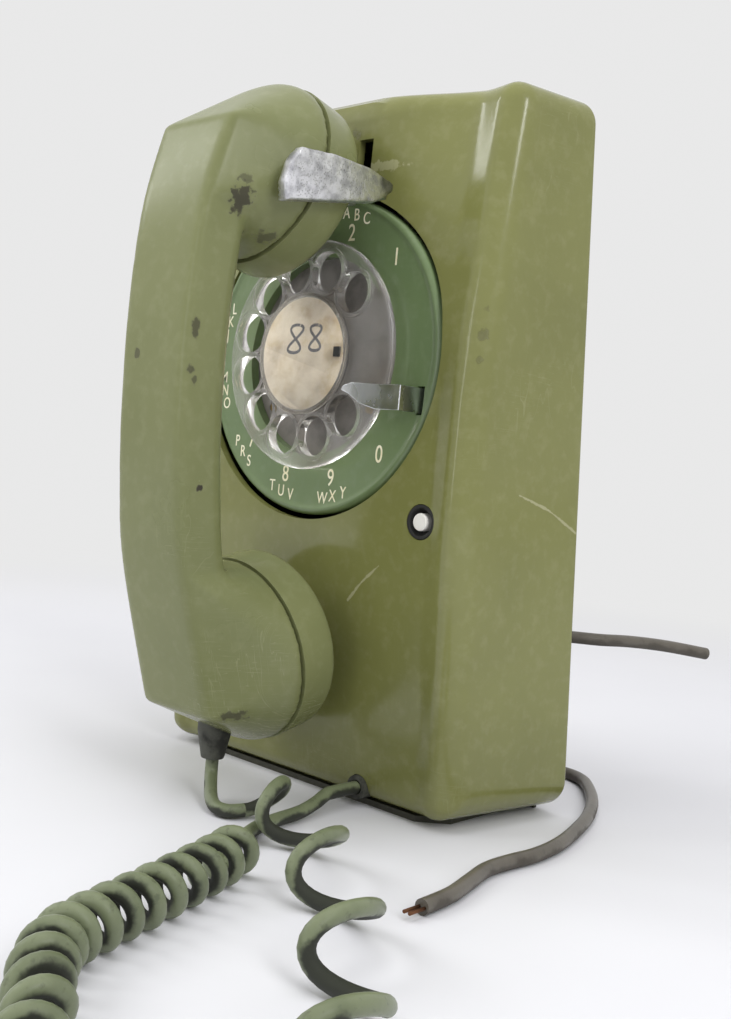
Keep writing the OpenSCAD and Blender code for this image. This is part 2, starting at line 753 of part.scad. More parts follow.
module transmitter_unit() color("#3a3b3d") at_tx() {
    translate([0, 0, 4.2]) cylinder(r = tx_r - cap_wall - 3 - fit, h = 9);
}
module contact_cup() color("#5a4632") at_tx() {
    translate([0, 0, 13.4]) cylinder(r = tx_r - cap_wall - 3 - fit, h = 2.4);
    translate([0, 6, 15.6]) cylinder(r = tx_r - cap_wall - 12 - fit, h = bowl_deep - fit - 15.6);
}
module strain_relief() color("#45463f") {
    translate([0, relief_y, relief_tip_z]) difference() {
        union() {
            cylinder(r1 = 3.8, r2 = 5.6, h = 9);
            translate([0, 0, 9]) cylinder(r = 5.6, h = 7);
        }
        translate([0, 0, -1]) cylinder(r = cord_r + fit / 2, h = 6);
    }
}
module cord_grommet() color("#2c2c29") {
    difference() {
        rod_y(exit_x, exit_z, grommet_r, foot_y - 0.5, foot_y + wall + 5);
        rod_y(exit_x, exit_z, cord_r + fit / 2, -big, big);
    }
}

// Swept tubes: frames are carried along the path without twist
function unit(v) = v / norm(v);
function tangent(p, i) = unit(p[min(i + 1, len(p) - 1)] - p[max(i - 1, 0)]);
function carry(n, t) = unit(n - (n * t) * t);
function normals(p, i = 0, acc = []) = i == len(p) ? acc :
    normals(p, i + 1, concat(acc, [carry(i == 0 ? [0.3, 0.5, 0.8] : acc[i - 1], tangent(p, i))]));
module tube(p, r, sides) {
    n = normals(p);
    last = (len(p) - 1) * sides;
    points = [for (i = [0 : len(p) - 1]) let (t = tangent(p, i), b = cross(t, n[i]))
        for (k = [0 : sides - 1]) p[i] + r * (cos(360 * k / sides) * n[i] + sin(360 * k / sides) * b)];
    skin = [for (i = [0 : len(p) - 2], k = [0 : sides - 1]) let (a = i * sides + k,
        b = i * sides + (k + 1) % sides) each [[a, a + sides, b], [b, a + sides, b + sides]]];
    ends = [for (k = [1 : sides - 2]) each [[0, k, k + 1], [last, last + k + 1, last + k]]];
    polyhedron(points, concat(skin, ends), convexity = 10);
}
// Smooth curve through hand-chosen points, steps per stretch
function spline(a, b, c, d, t) = 0.5 * (2 * b + (c - a) * t + (2 * a - 5 * b + 4 * c - d) * t * t
    + (3 * b - a - 3 * c + d) * t * t * t);
function smooth(p, steps) = [for (i = [0 : len(p) - 2], k = [0 : steps - 1])
    spline(p[max(i - 1, 0)], p[i], p[i + 1], p[min(i + 2, len(p) - 1)], k / steps), p[len(p) - 1]];

// The curly cord: knots of [curl count, axis x, y, z, curl radius, lean of the curls], with leads at both ends
curl_knots = [[0, 22, -64, 7.2, 4.6, 0], [0.3, 31, -64.5, 9, 6.2, 10], [0.75, 47, -70, 10, 8, 35],
    [1.25, 66, -80.5, 9.8, 8.8, 42], [1.75, 87, -94, 9.4, 8.8, 42], [2.25, 105, -108, 9.3, 8.6, 42],
    [2.75, 122, -124, 9.3, 8.4, 42], [3.25, 138, -141, 9.2, 8.2, 42], [4, 157, -164, 9, 7.6, 35],
    [5, 172, -185, 8.5, 6.4, 15], [6.2, 181, -202, 7.7, 5.2, 0], [8, 184, -219, 7.7, 5.2, 0],
    [10.5, 174, -237, 7.7, 5.2, 0], [13, 152, -238.5, 7.7, 5.2, 0], [14.5, 136, -225, 7.7, 5.2, 0],
    [16, 122, -206, 7.6, 5.2, 0], [18, 108.5, -190.5, 7.6, 5.2, 0], [20, 92.4, -179.6, 7.6, 5.2, 0],
    [22, 80.5, -168, 7.6, 5.2, 0], [24, 75.6, -154, 7.6, 5.2, 0], [26, 71.5, -139, 7.6, 5.2, 0],
    [28, 66.5, -122.5, 7.6, 5.2, 0], [30, 61, -106.5, 7.6, 5.2, 0], [31, 57, -98.5, 7.4, 5, 0]];
curl_rings = 8;
curl_phase = 90;
curl_total = curl_knots[len(curl_knots) - 1][0];
function knot_at(c, i = 0) = i >= len(curl_knots) - 2 || c < curl_knots[i + 1][0] ? i : knot_at(c, i + 1);
function rest(k) = [k[1], k[2], k[3], k[4], k[5]];
function axis_at(c) = let (i = knot_at(c), k = curl_knots, n = len(k),
    t = (c - k[i][0]) / (k[i + 1][0] - k[i][0]))
    spline(rest(k[max(i - 1, 0)]), rest(k[i]), rest(k[i + 1]), rest(k[min(i + 2, n - 1)]), t);
function curl_at(c) = let (a = axis_at(c), d = axis_at(min(c + 0.1, curl_total)) - axis_at(max(c - 0.1, 0)),
    ahead = unit([d[0], d[1], 0]), side = [ahead[1], -ahead[0], 0], w = 360 * c + curl_phase,
    up = cos(a[4]) * [0, 0, 1] + sin(a[4]) * ahead)
    [a[0], a[1], a[2]] + a[3] * (cos(w) * side - sin(w) * up);
curls = [for (i = [0 : curl_total * curl_rings]) curl_at(i / curl_rings)];
lead_handset = [[0, -60, 13.5], [0, -60, 9.2], [2.5, -62, 6.2], [8.5, -66.5, 3.5], [14.5, -69.5, 2.6],
    [19.5, -69, 2.5]];
lead_housing = [[52, -99.5, 2.4], [46, -93, 2.4], [41, -82, 2.5], [36.5, -72, 2.6], [34.5, -62, 2.7],
    [34, -52, 3.2], [33, -44, 4.6], [32, -38.5, 6.2], [32, -35, 6.5], [32, foot_y - 0.5, 6.5]];
cord_path = concat(lead_handset, curls, lead_housing);
function path_length(p) = norm_sum([for (i = [0 : len(p) - 2]) norm(p[i + 1] - p[i])]);
function norm_sum(v) = v * [for (x = v) 1];
function near_gap(p, skip) = min([for (i = [0 : len(p) - 1]) for (j = [i + skip : 1 : len(p) - 1])
    norm(p[i] - p[j])]);
module handset_cord() color("#7d8468") {
    echo(cord_length = path_length(cord_path), cord_gap = near_gap(smooth(cord_path, 2), 9) - cord_d,
        cord_low = min([for (p = cord_path) p[2]]) - cord_r);
    tube(cord_path, cord_r, 6);
}

// Line cables: cut lengths that come out of the back
side_route = [[30, 27, 14], [30, 38, 14], [31, 50, 12], [35, 62, 7], [42, 71, 3], [52, 74.5, 2.3], [61, 71, 2.3],
    [70, 61, 2.3], [79, 48, 2.3], [87, 32, 2.3], [93, 15, 2.3], [97.5, -2, 2.3], [99, -17, 2.3], [98, -29, 2.3],
    [98, -40, 2.3], [101, -52, 2.3], [104, -64, 2.3], [105, -77, 2.3]];
back_route = [[45, 22, 57], [45, 32, 57], [50, 42, 57.5], [60, 50, 58], [70, 58, 58], [75, 71, 57.5],
    [81, 87, 56], [89, 104, 53.5]];
module line_cable_side() color("#6d6458") {
    tube(smooth(side_route, 2), cable_r, 8);
}
module line_cable_back() color("#6d6458") {
    tube(smooth(back_route, 2), cable_r, 8);
}
module wire_ends() color("#b87333") {
    for (x = [104.2, 106]) translate([x, -77.1, 2.3]) rotate([90, 0, 0]) cylinder(r = 0.5, h = 6);
}

housing();
base_plate();
housing_screw();
number_plate();
finger_wheel();
number_card();
card_retainer();
finger_stop();
dial_frame();
dial_bracket();
dial_shaft();
main_gear();
main_spring();
pulse_gear();
pulse_springs();
governor_shaft();
governor_cup();
dial_screws();
hook_lever();
hook_bracket();
hook_pin();
hook_spring();
hook_switch();
ringer_frame();
ringer_coil();
gong_left();
gong_right();
gong_screws();
clapper();
clapper_pin();
network_block();
terminal_screws();
button();
button_bush();
button_spring();
button_switch();
switch_bracket();
handset_shell();
receiver_cap();
transmitter_cap();
receiver_unit();
transmitter_unit();
contact_cup();
strain_relief();
cord_grommet();
handset_cord();
line_cable_side();
line_cable_back();
wire_ends();
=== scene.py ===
"""Rotary wall telephone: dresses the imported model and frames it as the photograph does."""
import json
import math
from contextlib import contextmanager

import bmesh
import bpy
import numpy as np
from mathutils import Matrix, Vector


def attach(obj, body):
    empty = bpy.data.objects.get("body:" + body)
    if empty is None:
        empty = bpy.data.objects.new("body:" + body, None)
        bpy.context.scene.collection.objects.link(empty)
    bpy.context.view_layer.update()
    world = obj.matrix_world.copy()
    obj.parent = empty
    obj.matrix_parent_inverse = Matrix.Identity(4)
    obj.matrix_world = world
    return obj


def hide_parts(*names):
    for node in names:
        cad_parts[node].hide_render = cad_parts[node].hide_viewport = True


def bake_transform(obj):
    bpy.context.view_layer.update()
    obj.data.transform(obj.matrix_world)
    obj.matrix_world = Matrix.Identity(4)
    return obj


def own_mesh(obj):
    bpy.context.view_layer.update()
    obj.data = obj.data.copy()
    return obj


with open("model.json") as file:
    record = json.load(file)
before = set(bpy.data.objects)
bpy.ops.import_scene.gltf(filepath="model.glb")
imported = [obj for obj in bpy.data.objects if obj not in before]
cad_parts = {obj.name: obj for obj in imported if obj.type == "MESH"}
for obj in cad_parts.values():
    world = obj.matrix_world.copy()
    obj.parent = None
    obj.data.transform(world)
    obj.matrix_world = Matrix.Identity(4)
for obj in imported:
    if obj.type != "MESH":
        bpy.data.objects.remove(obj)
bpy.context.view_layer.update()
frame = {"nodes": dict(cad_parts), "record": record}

MM = 0.001
scene = bpy.context.scene
scene.view_settings.view_transform = "Standard"

# Places and sizes in millimetres, as in the part's source
RAIL_Y, PANEL_Y = -32.0, -30.0
PLATE_Y, DIAL_Z = -27.7, 149.0
BODY_H, BODY_D, TOP_D = 235.0, 64.0, 42.6
FRONT_W, BACK_W, WALL = 142.0, 157.0, 2.8
LEAN = (BODY_D - TOP_D) / BODY_H
BUTTON_X, BUTTON_Z = 54, 97
CORD_HOLE_X, CORD_HOLE_Z = 32, 6.5


def point(x, y, z):
    """Metres from millimetres."""
    return (x * MM, y * MM, z * MM)


def linked(name, data):
    """A new object in the scene."""
    obj = bpy.data.objects.new(name, data)
    scene.collection.objects.link(obj)
    return obj


# Camera and light

def place_camera():
    """Puts the camera where the photograph was taken."""
    position = Vector((280.85, -303.9, 112.74)) * MM
    target = Vector((1.28, 1.96, 97.2)) * MM
    roll = math.radians(5.1)
    forward = (target - position).normalized()
    level = forward.cross(Vector((0, 0, 1))).normalized()
    upright = level.cross(forward)
    right = level * math.cos(roll) + upright * math.sin(roll)
    up = upright * math.cos(roll) - level * math.sin(roll)
    data = bpy.data.cameras.new("camera")
    data.sensor_width = 36
    data.lens = 40.22
    data.clip_start = 0.01
    camera = linked("camera", data)
    turn = Matrix((right, up, -forward)).transposed().to_4x4()
    camera.matrix_world = Matrix.Translation(position) @ turn
    scene.camera = camera


def area_light(name, position, target, size, power, mirrored=True):
    """A lamp in metres and watts; one that isn't mirrored stays out of glossy surfaces."""
    data = bpy.data.lights.new(name, "AREA")
    data.shape = "RECTANGLE"
    data.size, data.size_y = size
    data.energy = power
    lamp = linked(name, data)
    lamp.visible_glossy = mirrored
    lamp.location = position
    aim = Vector(target) - Vector(position)
    lamp.rotation_euler = aim.to_track_quat("-Z", "Y").to_euler()


place_camera()
area_light("room_left", (-0.9, -0.9, 1.1), (0, 0, 0.12), (0.9, 0.9), 13, mirrored=False)
area_light("window_left", (-1.08, -0.6, 0.8), (0, 0, 0.18), (0.12, 0.4), 0.95)
area_light("window_front", (0.12, -1.4, 0.35), (0, 0, 0.15), (0.1, 0.6), 1.1)
area_light("room_right", (1.1, -0.35, 0.9), (0, 0, 0.12), (0.5, 1.0), 8.5, mirrored=False)
area_light("window_right", (1.21, -0.45, 0.82), (0, 0, 0.12), (0.14, 0.24), 1.2)
area_light("ceiling", (0.1, -0.1, 1.5), (0, 0, 0), (1.2, 1.2), 10, mirrored=False)


# Node helpers

def colour(code):
    """Linear colour of a six-digit screen colour."""
    parts = [int(code[i:i + 2], 16) / 255 for i in (0, 2, 4)]
    return tuple(p / 12.92 if p <= 0.04045 else ((p + 0.055) / 1.055) ** 2.4 for p in parts) + (1,)


class Tree:
    """A thin wrapper that adds nodes with their values and links in one line."""

    def __init__(self, tree):
        self.tree = tree

    def add(self, kind, **values):
        item = self.tree.nodes.new(kind)
        for key, value in values.items():
            if key in item.bl_rna.properties:
                setattr(item, key, value)
            else:
                self.feed(item.inputs[key.replace("_", " ")], value)
        return item

    def feed(self, socket, value):
        if isinstance(value, bpy.types.NodeSocket):
            self.tree.links.new(value, socket)
        else:
            socket.default_value = value

    def math(self, operation, a, b=0.0, clamp=False):
        item = self.tree.nodes.new("ShaderNodeMath")
        item.operation, item.use_clamp = operation, clamp
        self.feed(item.inputs[0], a)
        self.feed(item.inputs[1], b)
        return item.outputs[0]

    def part(self, value, share):
        return self.math("MULTIPLY", value, share)

    def rest(self, mask):
        """What a mask leaves out."""
        return self.math("SUBTRACT", 1.0, mask)

    def vector(self, operation, a, b=(0.0, 0.0, 0.0), output="Vector"):
        item = self.add("ShaderNodeVectorMath", operation=operation)
        self.feed(item.inputs[0], a)
        self.feed(item.inputs["Scale" if operation == "SCALE" else 1], b)
        return item.outputs[output]

    def mix(self, factor, a, b):
        """One colour over another; the node's colours are its sockets 6 and 7 and its output 2."""
        item = self.add("ShaderNodeMix", data_type="RGBA")
        self.feed(item.inputs["Factor"], factor)
        self.feed(item.inputs[6], a)
        self.feed(item.inputs[7], b)
        return item.outputs[2]

    def ramp(self, value, low, high):
        """0 below low, 1 above high, smooth between."""
        item = self.add("ShaderNodeMapRange", interpolation_type="SMOOTHSTEP")
        self.feed(item.inputs["Value"], value)
        self.feed(item.inputs["From Min"], low)
        self.feed(item.inputs["From Max"], high)
        return item.outputs["Result"]

    def noise(self, scale, detail, spot):
        item = self.add("ShaderNodeTexNoise", Scale=scale, Detail=detail, Roughness=0.55, Vector=spot)
        return item.outputs["Fac"]

    def uneven(self, scale, detail, spot):
        """Noise about zero."""
        return self.math("SUBTRACT", self.noise(scale, detail, spot), 0.5)


def group(name, inputs):
    """A shader node group with named inputs and a Mask; returns it with its tree and sockets."""
    data = bpy.data.node_groups.new(name, "ShaderNodeTree")
    for label, value in inputs.items():
        kind = "NodeSocketVector" if isinstance(value, tuple) else "NodeSocketFloat"
        data.interface.new_socket(label, in_out="INPUT", socket_type=kind).default_value = value
    data.interface.new_socket("Mask", in_out="OUTPUT", socket_type="NodeSocketFloat")
    tree = Tree(data)
    given = tree.add("NodeGroupInput").outputs
    return data, tree, given, tree.add("NodeGroupOutput").inputs["Mask"]


def object_coordinates(tree):
    return tree.add("ShaderNodeTexCoord").outputs["Object"]


def make_mottle():
    """Cloudy patches: a mask between 0 and 1."""
    data, tree, given, mask = group("Mottle", {"Scale": 20.0, "Low": 0.4, "High": 0.65})
    value = tree.noise(given["Scale"], 5.0, object_coordinates(tree))
    tree.feed(mask, tree.ramp(value, given["Low"], given["High"]))
    return data


def make_scratches():
    """Fine straight scratches in two directions, broken up by cloudy patches."""
    data, tree, given, mask = group("Scratches", {"Scale": 60.0, "Amount": 0.5})
    spot = object_coordinates(tree)
    thin = 0.008
    lines = []
    for turn, stretch in (((0.3, 0.2, 0.5), (14, 0.5, 0.5)), ((-0.5, 0.4, -0.7), (0.5, 0.5, 14))):
        bent = tree.add("ShaderNodeMapping", Vector=spot, Rotation=turn, Scale=stretch)
        near = tree.math("ABSOLUTE", tree.uneven(given["Scale"], 2.0, bent.outputs[0]))
        lines.append(tree.rest(tree.ramp(near, 0.0, thin)))
    patches = tree.ramp(tree.noise(9.0, 3.0, spot), 0.52, 0.7)
    broken = tree.part(tree.math("MAXIMUM", *lines), patches)
    tree.feed(mask, tree.part(broken, given["Amount"]))
    return data


def make_smudge():
    """A ragged mark round one point on the piece."""
    inputs = {"Centre": (0.0, 0.0, 0.0), "Reach": (0.01, 0.01, 0.01), "Ragged": 0.6, "Grain": 160.0}
    data, tree, given, mask = group("Smudge", inputs)
    spot = object_coordinates(tree)
    offset = tree.vector("SUBTRACT", spot, given["Centre"])
    away = tree.vector("LENGTH", tree.vector("DIVIDE", offset, given["Reach"]), output="Value")
    rough = tree.part(tree.uneven(given["Grain"], 4.0, spot), given["Ragged"])
    edge = tree.math("ADD", away, tree.part(rough, 4.0))
    tree.feed(mask, tree.rest(tree.ramp(edge, 0.55, 1.0)))
    return data


def make_score():
    """A thin broken line between two points, seen along the direction that Across leaves out."""
    ends = {"From": (0.0, 0.0, 0.0), "To": (0.0, 0.0, 0.01)}
    inputs = {**ends, "Across": (1.0, 0.0, 1.0), "Width": 0.0004}
    data, tree, given, mask = group("Score", inputs)
    spot = object_coordinates(tree)
    run = tree.vector("MULTIPLY", tree.vector("SUBTRACT", given["To"], given["From"]), given["Across"])
    offset = tree.vector("MULTIPLY", tree.vector("SUBTRACT", spot, given["From"]), given["Across"])
    reach = tree.vector("DOT_PRODUCT", run, run, "Value")
    along = tree.math("DIVIDE", tree.vector("DOT_PRODUCT", offset, run, "Value"), reach, clamp=True)
    miss = tree.vector("SUBTRACT", offset, tree.vector("SCALE", run, along))
    wander = tree.part(tree.uneven(300.0, 3.0, spot), given["Width"])
    edge = tree.math("ADD", tree.vector("LENGTH", miss, output="Value"), tree.part(wander, 3.0))
    core = tree.part(given["Width"], 0.4)
    tree.feed(mask, tree.rest(tree.ramp(edge, core, given["Width"])))
    return data


def make_pits():
    """Small round pits, as in worn plated castings."""
    data, tree, given, mask = group("Pits", {"Scale": 900.0, "Share": 0.5})
    spot = object_coordinates(tree)
    cells = tree.add("ShaderNodeTexVoronoi", Vector=spot, Scale=given["Scale"])
    holes = tree.rest(tree.ramp(cells.outputs["Distance"], 0.12, 0.42))
    patch = tree.ramp(tree.noise(120.0, 4.0, spot), given["Share"], 0.75)
    tree.feed(mask, tree.part(holes, patch))
    return data


MOTTLE, SCRATCHES, SMUDGE = make_mottle(), make_scratches(), make_smudge()
SCORE, PITS = make_score(), make_pits()


class Finish(Tree):
    """A material with one Principled shader and the shared effects ready to place."""

    def __init__(self, name):
        self.material = bpy.data.materials.new(name)
        self.material.use_nodes = True
        super().__init__(self.material.node_tree)
        self.shader = self.tree.nodes["Principled BSDF"]

    def effect(self, data, **values):
        item = self.tree.nodes.new("ShaderNodeGroup")
        item.node_tree = data
        for key, value in values.items():
            self.feed(item.inputs[key], value)
        return item.outputs["Mask"]

    def set(self, **values):
        for key, value in values.items():
            self.feed(self.shader.inputs[key.replace("_", " ")], value)

    def bump(self, height, strength):
        item = self.add("ShaderNodeBump", Height=height, Strength=strength, Distance=0.4 * MM)
        self.feed(self.shader.inputs["Normal"], item.outputs["Normal"])

    def give_way(self, other, share):
        """Shows another shader instead of this one, by share."""
        both = self.add("ShaderNodeMixShader", Fac=share)
        self.feed(both.inputs[1], self.shader.outputs[0])
        self.feed(both.inputs[2], other.outputs[0])
        self.feed(self.tree.nodes["Material Output"].inputs["Surface"], both.outputs[0])


def worn_plastic(name, base, deep, pale, dark_marks=(), pale_marks=(), scores=(), rough=0.13, sheen=0.5):
    """Glossy moulded plastic with cloudy colour, fine scratches and placed scuffs."""
    look = Finish(name)
    cloud = look.effect(MOTTLE, Scale=16.0, Low=0.35, High=0.7)
    fine = look.effect(MOTTLE, Scale=240.0, Low=0.45, High=0.75)
    scratch = look.effect(SCRATCHES, Scale=55.0, Amount=0.35)
    tint = look.mix(look.part(cloud, 0.55), colour(base), colour(deep))
    tint = look.mix(look.part(fine, 0.12), tint, colour(pale))
    tint = look.mix(scratch, tint, colour(pale))
    dull = look.part(scratch, 0.2)
    for marks, stain in ((dark_marks, colour("35302a")), (pale_marks, colour(pale))):
        for centre, reach, strength in marks:
            smudge = look.effect(SMUDGE, Centre=point(*centre), Reach=point(*reach), Grain=450.0)
            mask = look.part(smudge, strength)
            tint = look.mix(mask, tint, stain)
            dull = look.math("MAXIMUM", dull, look.part(mask, 0.3))
    for start, end, across in scores:
        mask = look.effect(SCORE, From=point(*start), To=point(*end), Across=across, Width=0.5 * MM)
        tint = look.mix(look.part(mask, 0.75), tint, colour(pale))
    base_rough = look.math("ADD", look.part(cloud, 0.08), rough)
    look.set(Base_Color=tint, Roughness=look.math("ADD", base_rough, dull), Specular_IOR_Level=sheen)
    look.bump(look.noise(700.0, 2.0, object_coordinates(look)), 0.04)
    return look.material


def metal(name, base, deep, rough, pits=0.0, dark_marks=(), patches=90.0):
    """Bare or plated metal with cloudy tarnish and, where asked, pits and placed dark marks of painted shade.
    """
    look = Finish(name)
    cloud = look.effect(MOTTLE, Scale=patches, Low=0.35, High=0.7)
    tint = look.mix(cloud, colour(base), colour(deep))
    spread = look.math("ADD", look.part(cloud, 0.15), rough)
    height = look.noise(500.0, 3.0, object_coordinates(look))
    # Placed dark marks are painted shade, where a neighbouring part shades the metal
    for centre, reach, strength in dark_marks:
        mask = look.effect(SMUDGE, Centre=point(*centre), Reach=point(*reach), Ragged=0.2)
        tint = look.mix(look.part(mask, strength), tint, colour("55554f"))
    if pits:
        holes = look.effect(PITS, Scale=1400.0, Share=0.25)
        tint = look.mix(look.part(holes, pits), tint, colour("2f2e2c"))
        spread = look.math("ADD", spread, look.part(holes, 0.3))
        height = look.math("SUBTRACT", height, look.part(holes, 2.0))
    look.set(Base_Color=tint, Roughness=spread, Metallic=1.0)
    look.bump(height, 0.25 if pits else 0.06)
    return look.material


def matte(name, base, deep, rough, scale=140.0, depth=0.15):
    """A plain finish with cloudy colour and a fine grain."""
    look = Finish(name)
    cloud = look.effect(MOTTLE, Scale=scale, Low=0.4, High=0.68)
    look.set(Base_Color=look.mix(cloud, colour(base), colour(deep)),
             Roughness=look.math("ADD", look.part(cloud, 0.15), rough))
    look.bump(look.noise(scale * 6, 3.0, object_coordinates(look)), depth)
    return look.material


def clear_plastic(name, base, rough):
    """Clear plastic with scratches; it lets the lamps' light through to what lies behind."""
    look = Finish(name)
    scratch = look.effect(SCRATCHES, Scale=120.0, Amount=0.5)
    cloud = look.effect(MOTTLE, Scale=60.0, Low=0.4, High=0.75)
    look.set(Base_Color=look.mix(cloud, colour(base), colour("cfc8bf")),
             Roughness=look.math("ADD", look.part(scratch, 0.3), rough),
             Transmission_Weight=0.92, IOR=1.4)
    shadow = look.add("ShaderNodeLightPath").outputs["Is Shadow Ray"]
    open_air = look.add("ShaderNodeBsdfTransparent", Color=(0.9, 0.9, 0.89, 1))
    look.give_way(open_air, shadow)
    return look.material


def cord_jacket(name, base, deep, soiling_and_shade_colour, shade_and_soiling_share=0.92):
    """Rubber jacket; its own 'inside' attribute darkens it inside the curls and underneath: painted shade,
    mixed with soiling.
    """
    look = Finish(name)
    inside = look.add("ShaderNodeAttribute", attribute_name="inside").outputs["Fac"]
    cloud = look.effect(MOTTLE, Scale=70.0, Low=0.35, High=0.7)
    flecks = look.effect(MOTTLE, Scale=420.0, Low=0.56, High=0.7)
    blotches = look.part(look.math("SUBTRACT", cloud, 0.5), 0.5)
    # Painted shade inside the curls and under the straight runs, broken up by cloudy patches, with soiling
    shade_and_soiling = look.ramp(look.math("ADD", inside, blotches), 0.24, 0.55)
    tint = look.mix(cloud, colour(base), colour(deep))
    tint = look.mix(look.part(flecks, 0.3), tint, colour(soiling_and_shade_colour))
    tint = look.mix(look.part(shade_and_soiling, shade_and_soiling_share), tint, colour(soiling_and_shade_colour))
    look.set(Base_Color=tint, Roughness=look.math("ADD", look.part(shade_and_soiling, 0.3), 0.36))
    look.bump(look.noise(500.0, 3.0, object_coordinates(look)), 0.12)
    return look.material


# Marks in millimetres: place, reach, strength; scratches: start, end, and the directions they lie in
HOUSING_DARK = [((6, -30, 222), (9, 3, 4), 0.35), ((30, -29, 10), (14, 5, 4), 0.5),
                ((-2, -30, 12), (10, 5, 5), 0.55),
                ((69, -26.4, 155.7), (1.6, 2, 2.4), 0.35), ((69, -24.6, 163.6), (1.4, 2, 2), 0.3),
                ((69, -26.7, 148), (1.4, 2, 1.8), 0.3)]
HOUSING_PALE = [((25, -29, 211.5), (11, 4, 2), 0.55), ((52.6, -29.5, 180.6), (1, 3, 1), 0.9)]
HOUSING_SCORES = [((24.5, -29, 68.2), (30.5, -29, 75), (1, 0, 1)),
                  ((30.5, -29, 75), (37.7, -29, 81.2), (1, 0, 1)),
                  ((75, -7, 108), (75, 7, 104), (0, 1, 1)), ((75, 7, 104), (75, 21.5, 97), (0, 1, 1))]
HANDSET_DARK = [((19.3, -83.7, 188.2), (4, 4.5, 5.5), 0.85), ((20.5, -83.4, 194), (2.5, 2, 2.5), 0.5),
                ((16.3, -70, 180), (5, 4, 2.4), 0.6), ((15.9, -93.9, 148.8), (1.5, 1.6, 3.4), 0.7),
                ((15.7, -94.6, 136.5), (1.4, 1.4, 1.9), 0.65), ((15.9, -93.2, 133.5), (1.4, 1.3, 1.5), 0.6),
                ((-7.1, -97.3, 140.7), (1.6, 2, 2.4), 0.6), ((16.5, -88.2, 102.2), (1.5, 1.4, 1.2), 0.95),
                ((-1, -94, 72), (1.1, 3, 1.1), 0.8), ((21, -70, 32.5), (6, 6, 2), 0.7)]
# Painted shade on the hook's end by the housing, where the slot shades it
HOOK_PAINTED_SHADE = [((34, -35, 203), (6, 7, 9), 0.8)]

olive_plastic = worn_plastic("olive_plastic", "7b7d49", "6c6e3f", "a9a884",
                             HOUSING_DARK, HOUSING_PALE, HOUSING_SCORES)
handset_plastic = worn_plastic("handset_plastic", "7a7e56", "6d724a", "a4a684",
                               HANDSET_DARK, rough=0.2, sheen=0.3)
plate_plastic = worn_plastic("plate_plastic", "6f8259", "637652", "95a186", rough=0.16)
lettering = matte("lettering", "f6f1d6", "e6dfb8", 0.5)
wheel_plastic = clear_plastic("wheel_plastic", "f6f4f1", 0.2)
card_cover = clear_plastic("card_cover", "f2efe8", 0.06)
card_paper = matte("card_paper", "f5ecdd", "dccaa9", 0.75, 130.0, 0.05)
ink = matte("ink", "2c3350", "1f2438", 0.5)
# The hook's end by the housing takes painted shade
cast_metal = metal("cast_metal", "ececee", "b4b4b8", 0.28, pits=0.5, dark_marks=HOOK_PAINTED_SHADE, patches=260.0)
chrome_strip = metal("chrome_strip", "e6e8ea", "d2d4d7", 0.2)
plated_steel = metal("plated_steel", "96989a", "7e8082", 0.32)
brass_metal = metal("brass_metal", "b0955a", "94793f", 0.3)
copper_metal = metal("copper_metal", "7a5640", "4c3526", 0.45)
painted_steel = matte("painted_steel", "38382c", "323228", 0.5, 260.0)
dark_frame = matte("dark_frame", "807c77", "6a6662", 0.45)
black_plastic = matte("black_plastic", "1d1d1b", "121211", 0.45)
white_plastic = matte("white_plastic", "ebe9e2", "dcd9cf", 0.35, 90.0, 0.05)
brown_board = matte("brown_board", "5a4632", "4a3828", 0.7)
grey_rubber = matte("grey_rubber", "4a4b43", "23231f", 0.62, 160.0, 0.4)
# The last colour marks flecks of soiling and, with painted shade, the curls' insides and undersides
cord_rubber = cord_jacket("cord_rubber", "747c60", "626a50", "1b1c18")
cable_rubber = cord_jacket("cable_rubber", "5e5950", "4e4941", "35312b", shade_and_soiling_share=0.4)


# Mesh helpers

def mesh_object(name, points, faces, edges=()):
    """A mesh from points in millimetres."""
    mesh = bpy.data.meshes.new(name)
    mesh.from_pydata((np.asarray(points, float) * MM).tolist(), edges, faces)
    mesh.update()
    return linked(name, mesh)


def shade(obj, angle=35):
    """Smooth faces, with sharp edges past an angle in degrees."""
    obj.data.shade_smooth()
    obj.data.set_sharp_from_angle(angle=math.radians(angle))


def bake(obj):
    """Makes obj's modifiers part of its mesh."""
    bpy.context.view_layer.update()
    graph = bpy.context.evaluated_depsgraph_get()
    mesh = bpy.data.meshes.new_from_object(obj.evaluated_get(graph))
    obj.modifiers.clear()
    obj.data = mesh


@contextmanager
def edited(obj):
    """Opens obj's mesh for bmesh tools and puts it back."""
    bm = bmesh.new()
    bm.from_mesh(obj.data)
    yield bm
    bm.to_mesh(obj.data)
    bm.free()


def merge_doubles(obj):
    with edited(obj) as bm:
        bmesh.ops.remove_doubles(bm, verts=bm.verts, dist=0.02 * MM)


def face_outwards(obj):
    with edited(obj) as bm:
        bmesh.ops.recalc_face_normals(bm, faces=bm.faces)


def node_copy(node, bevel=0.0):
    """A merged copy of a CAD node with smooth faces and, where asked, softened edges (mm)."""
    obj = linked(node + "_look", frame["nodes"][node].data.copy())
    obj.data.materials.clear()
    merge_doubles(obj)
    if bevel:
        with edited(obj) as bm:
            flat = math.radians(2)
            bmesh.ops.dissolve_limit(bm, angle_limit=flat, verts=bm.verts, edges=bm.edges)
    shade(obj)
    if bevel:
        soft = obj.modifiers.new("soft_edges", "BEVEL")
        soft.harden_normals = True
        soft.width = bevel * MM
        soft.segments = 2
        soft.limit_method = "ANGLE"
        soft.angle_limit = math.radians(40)
        bake(obj)
    return obj


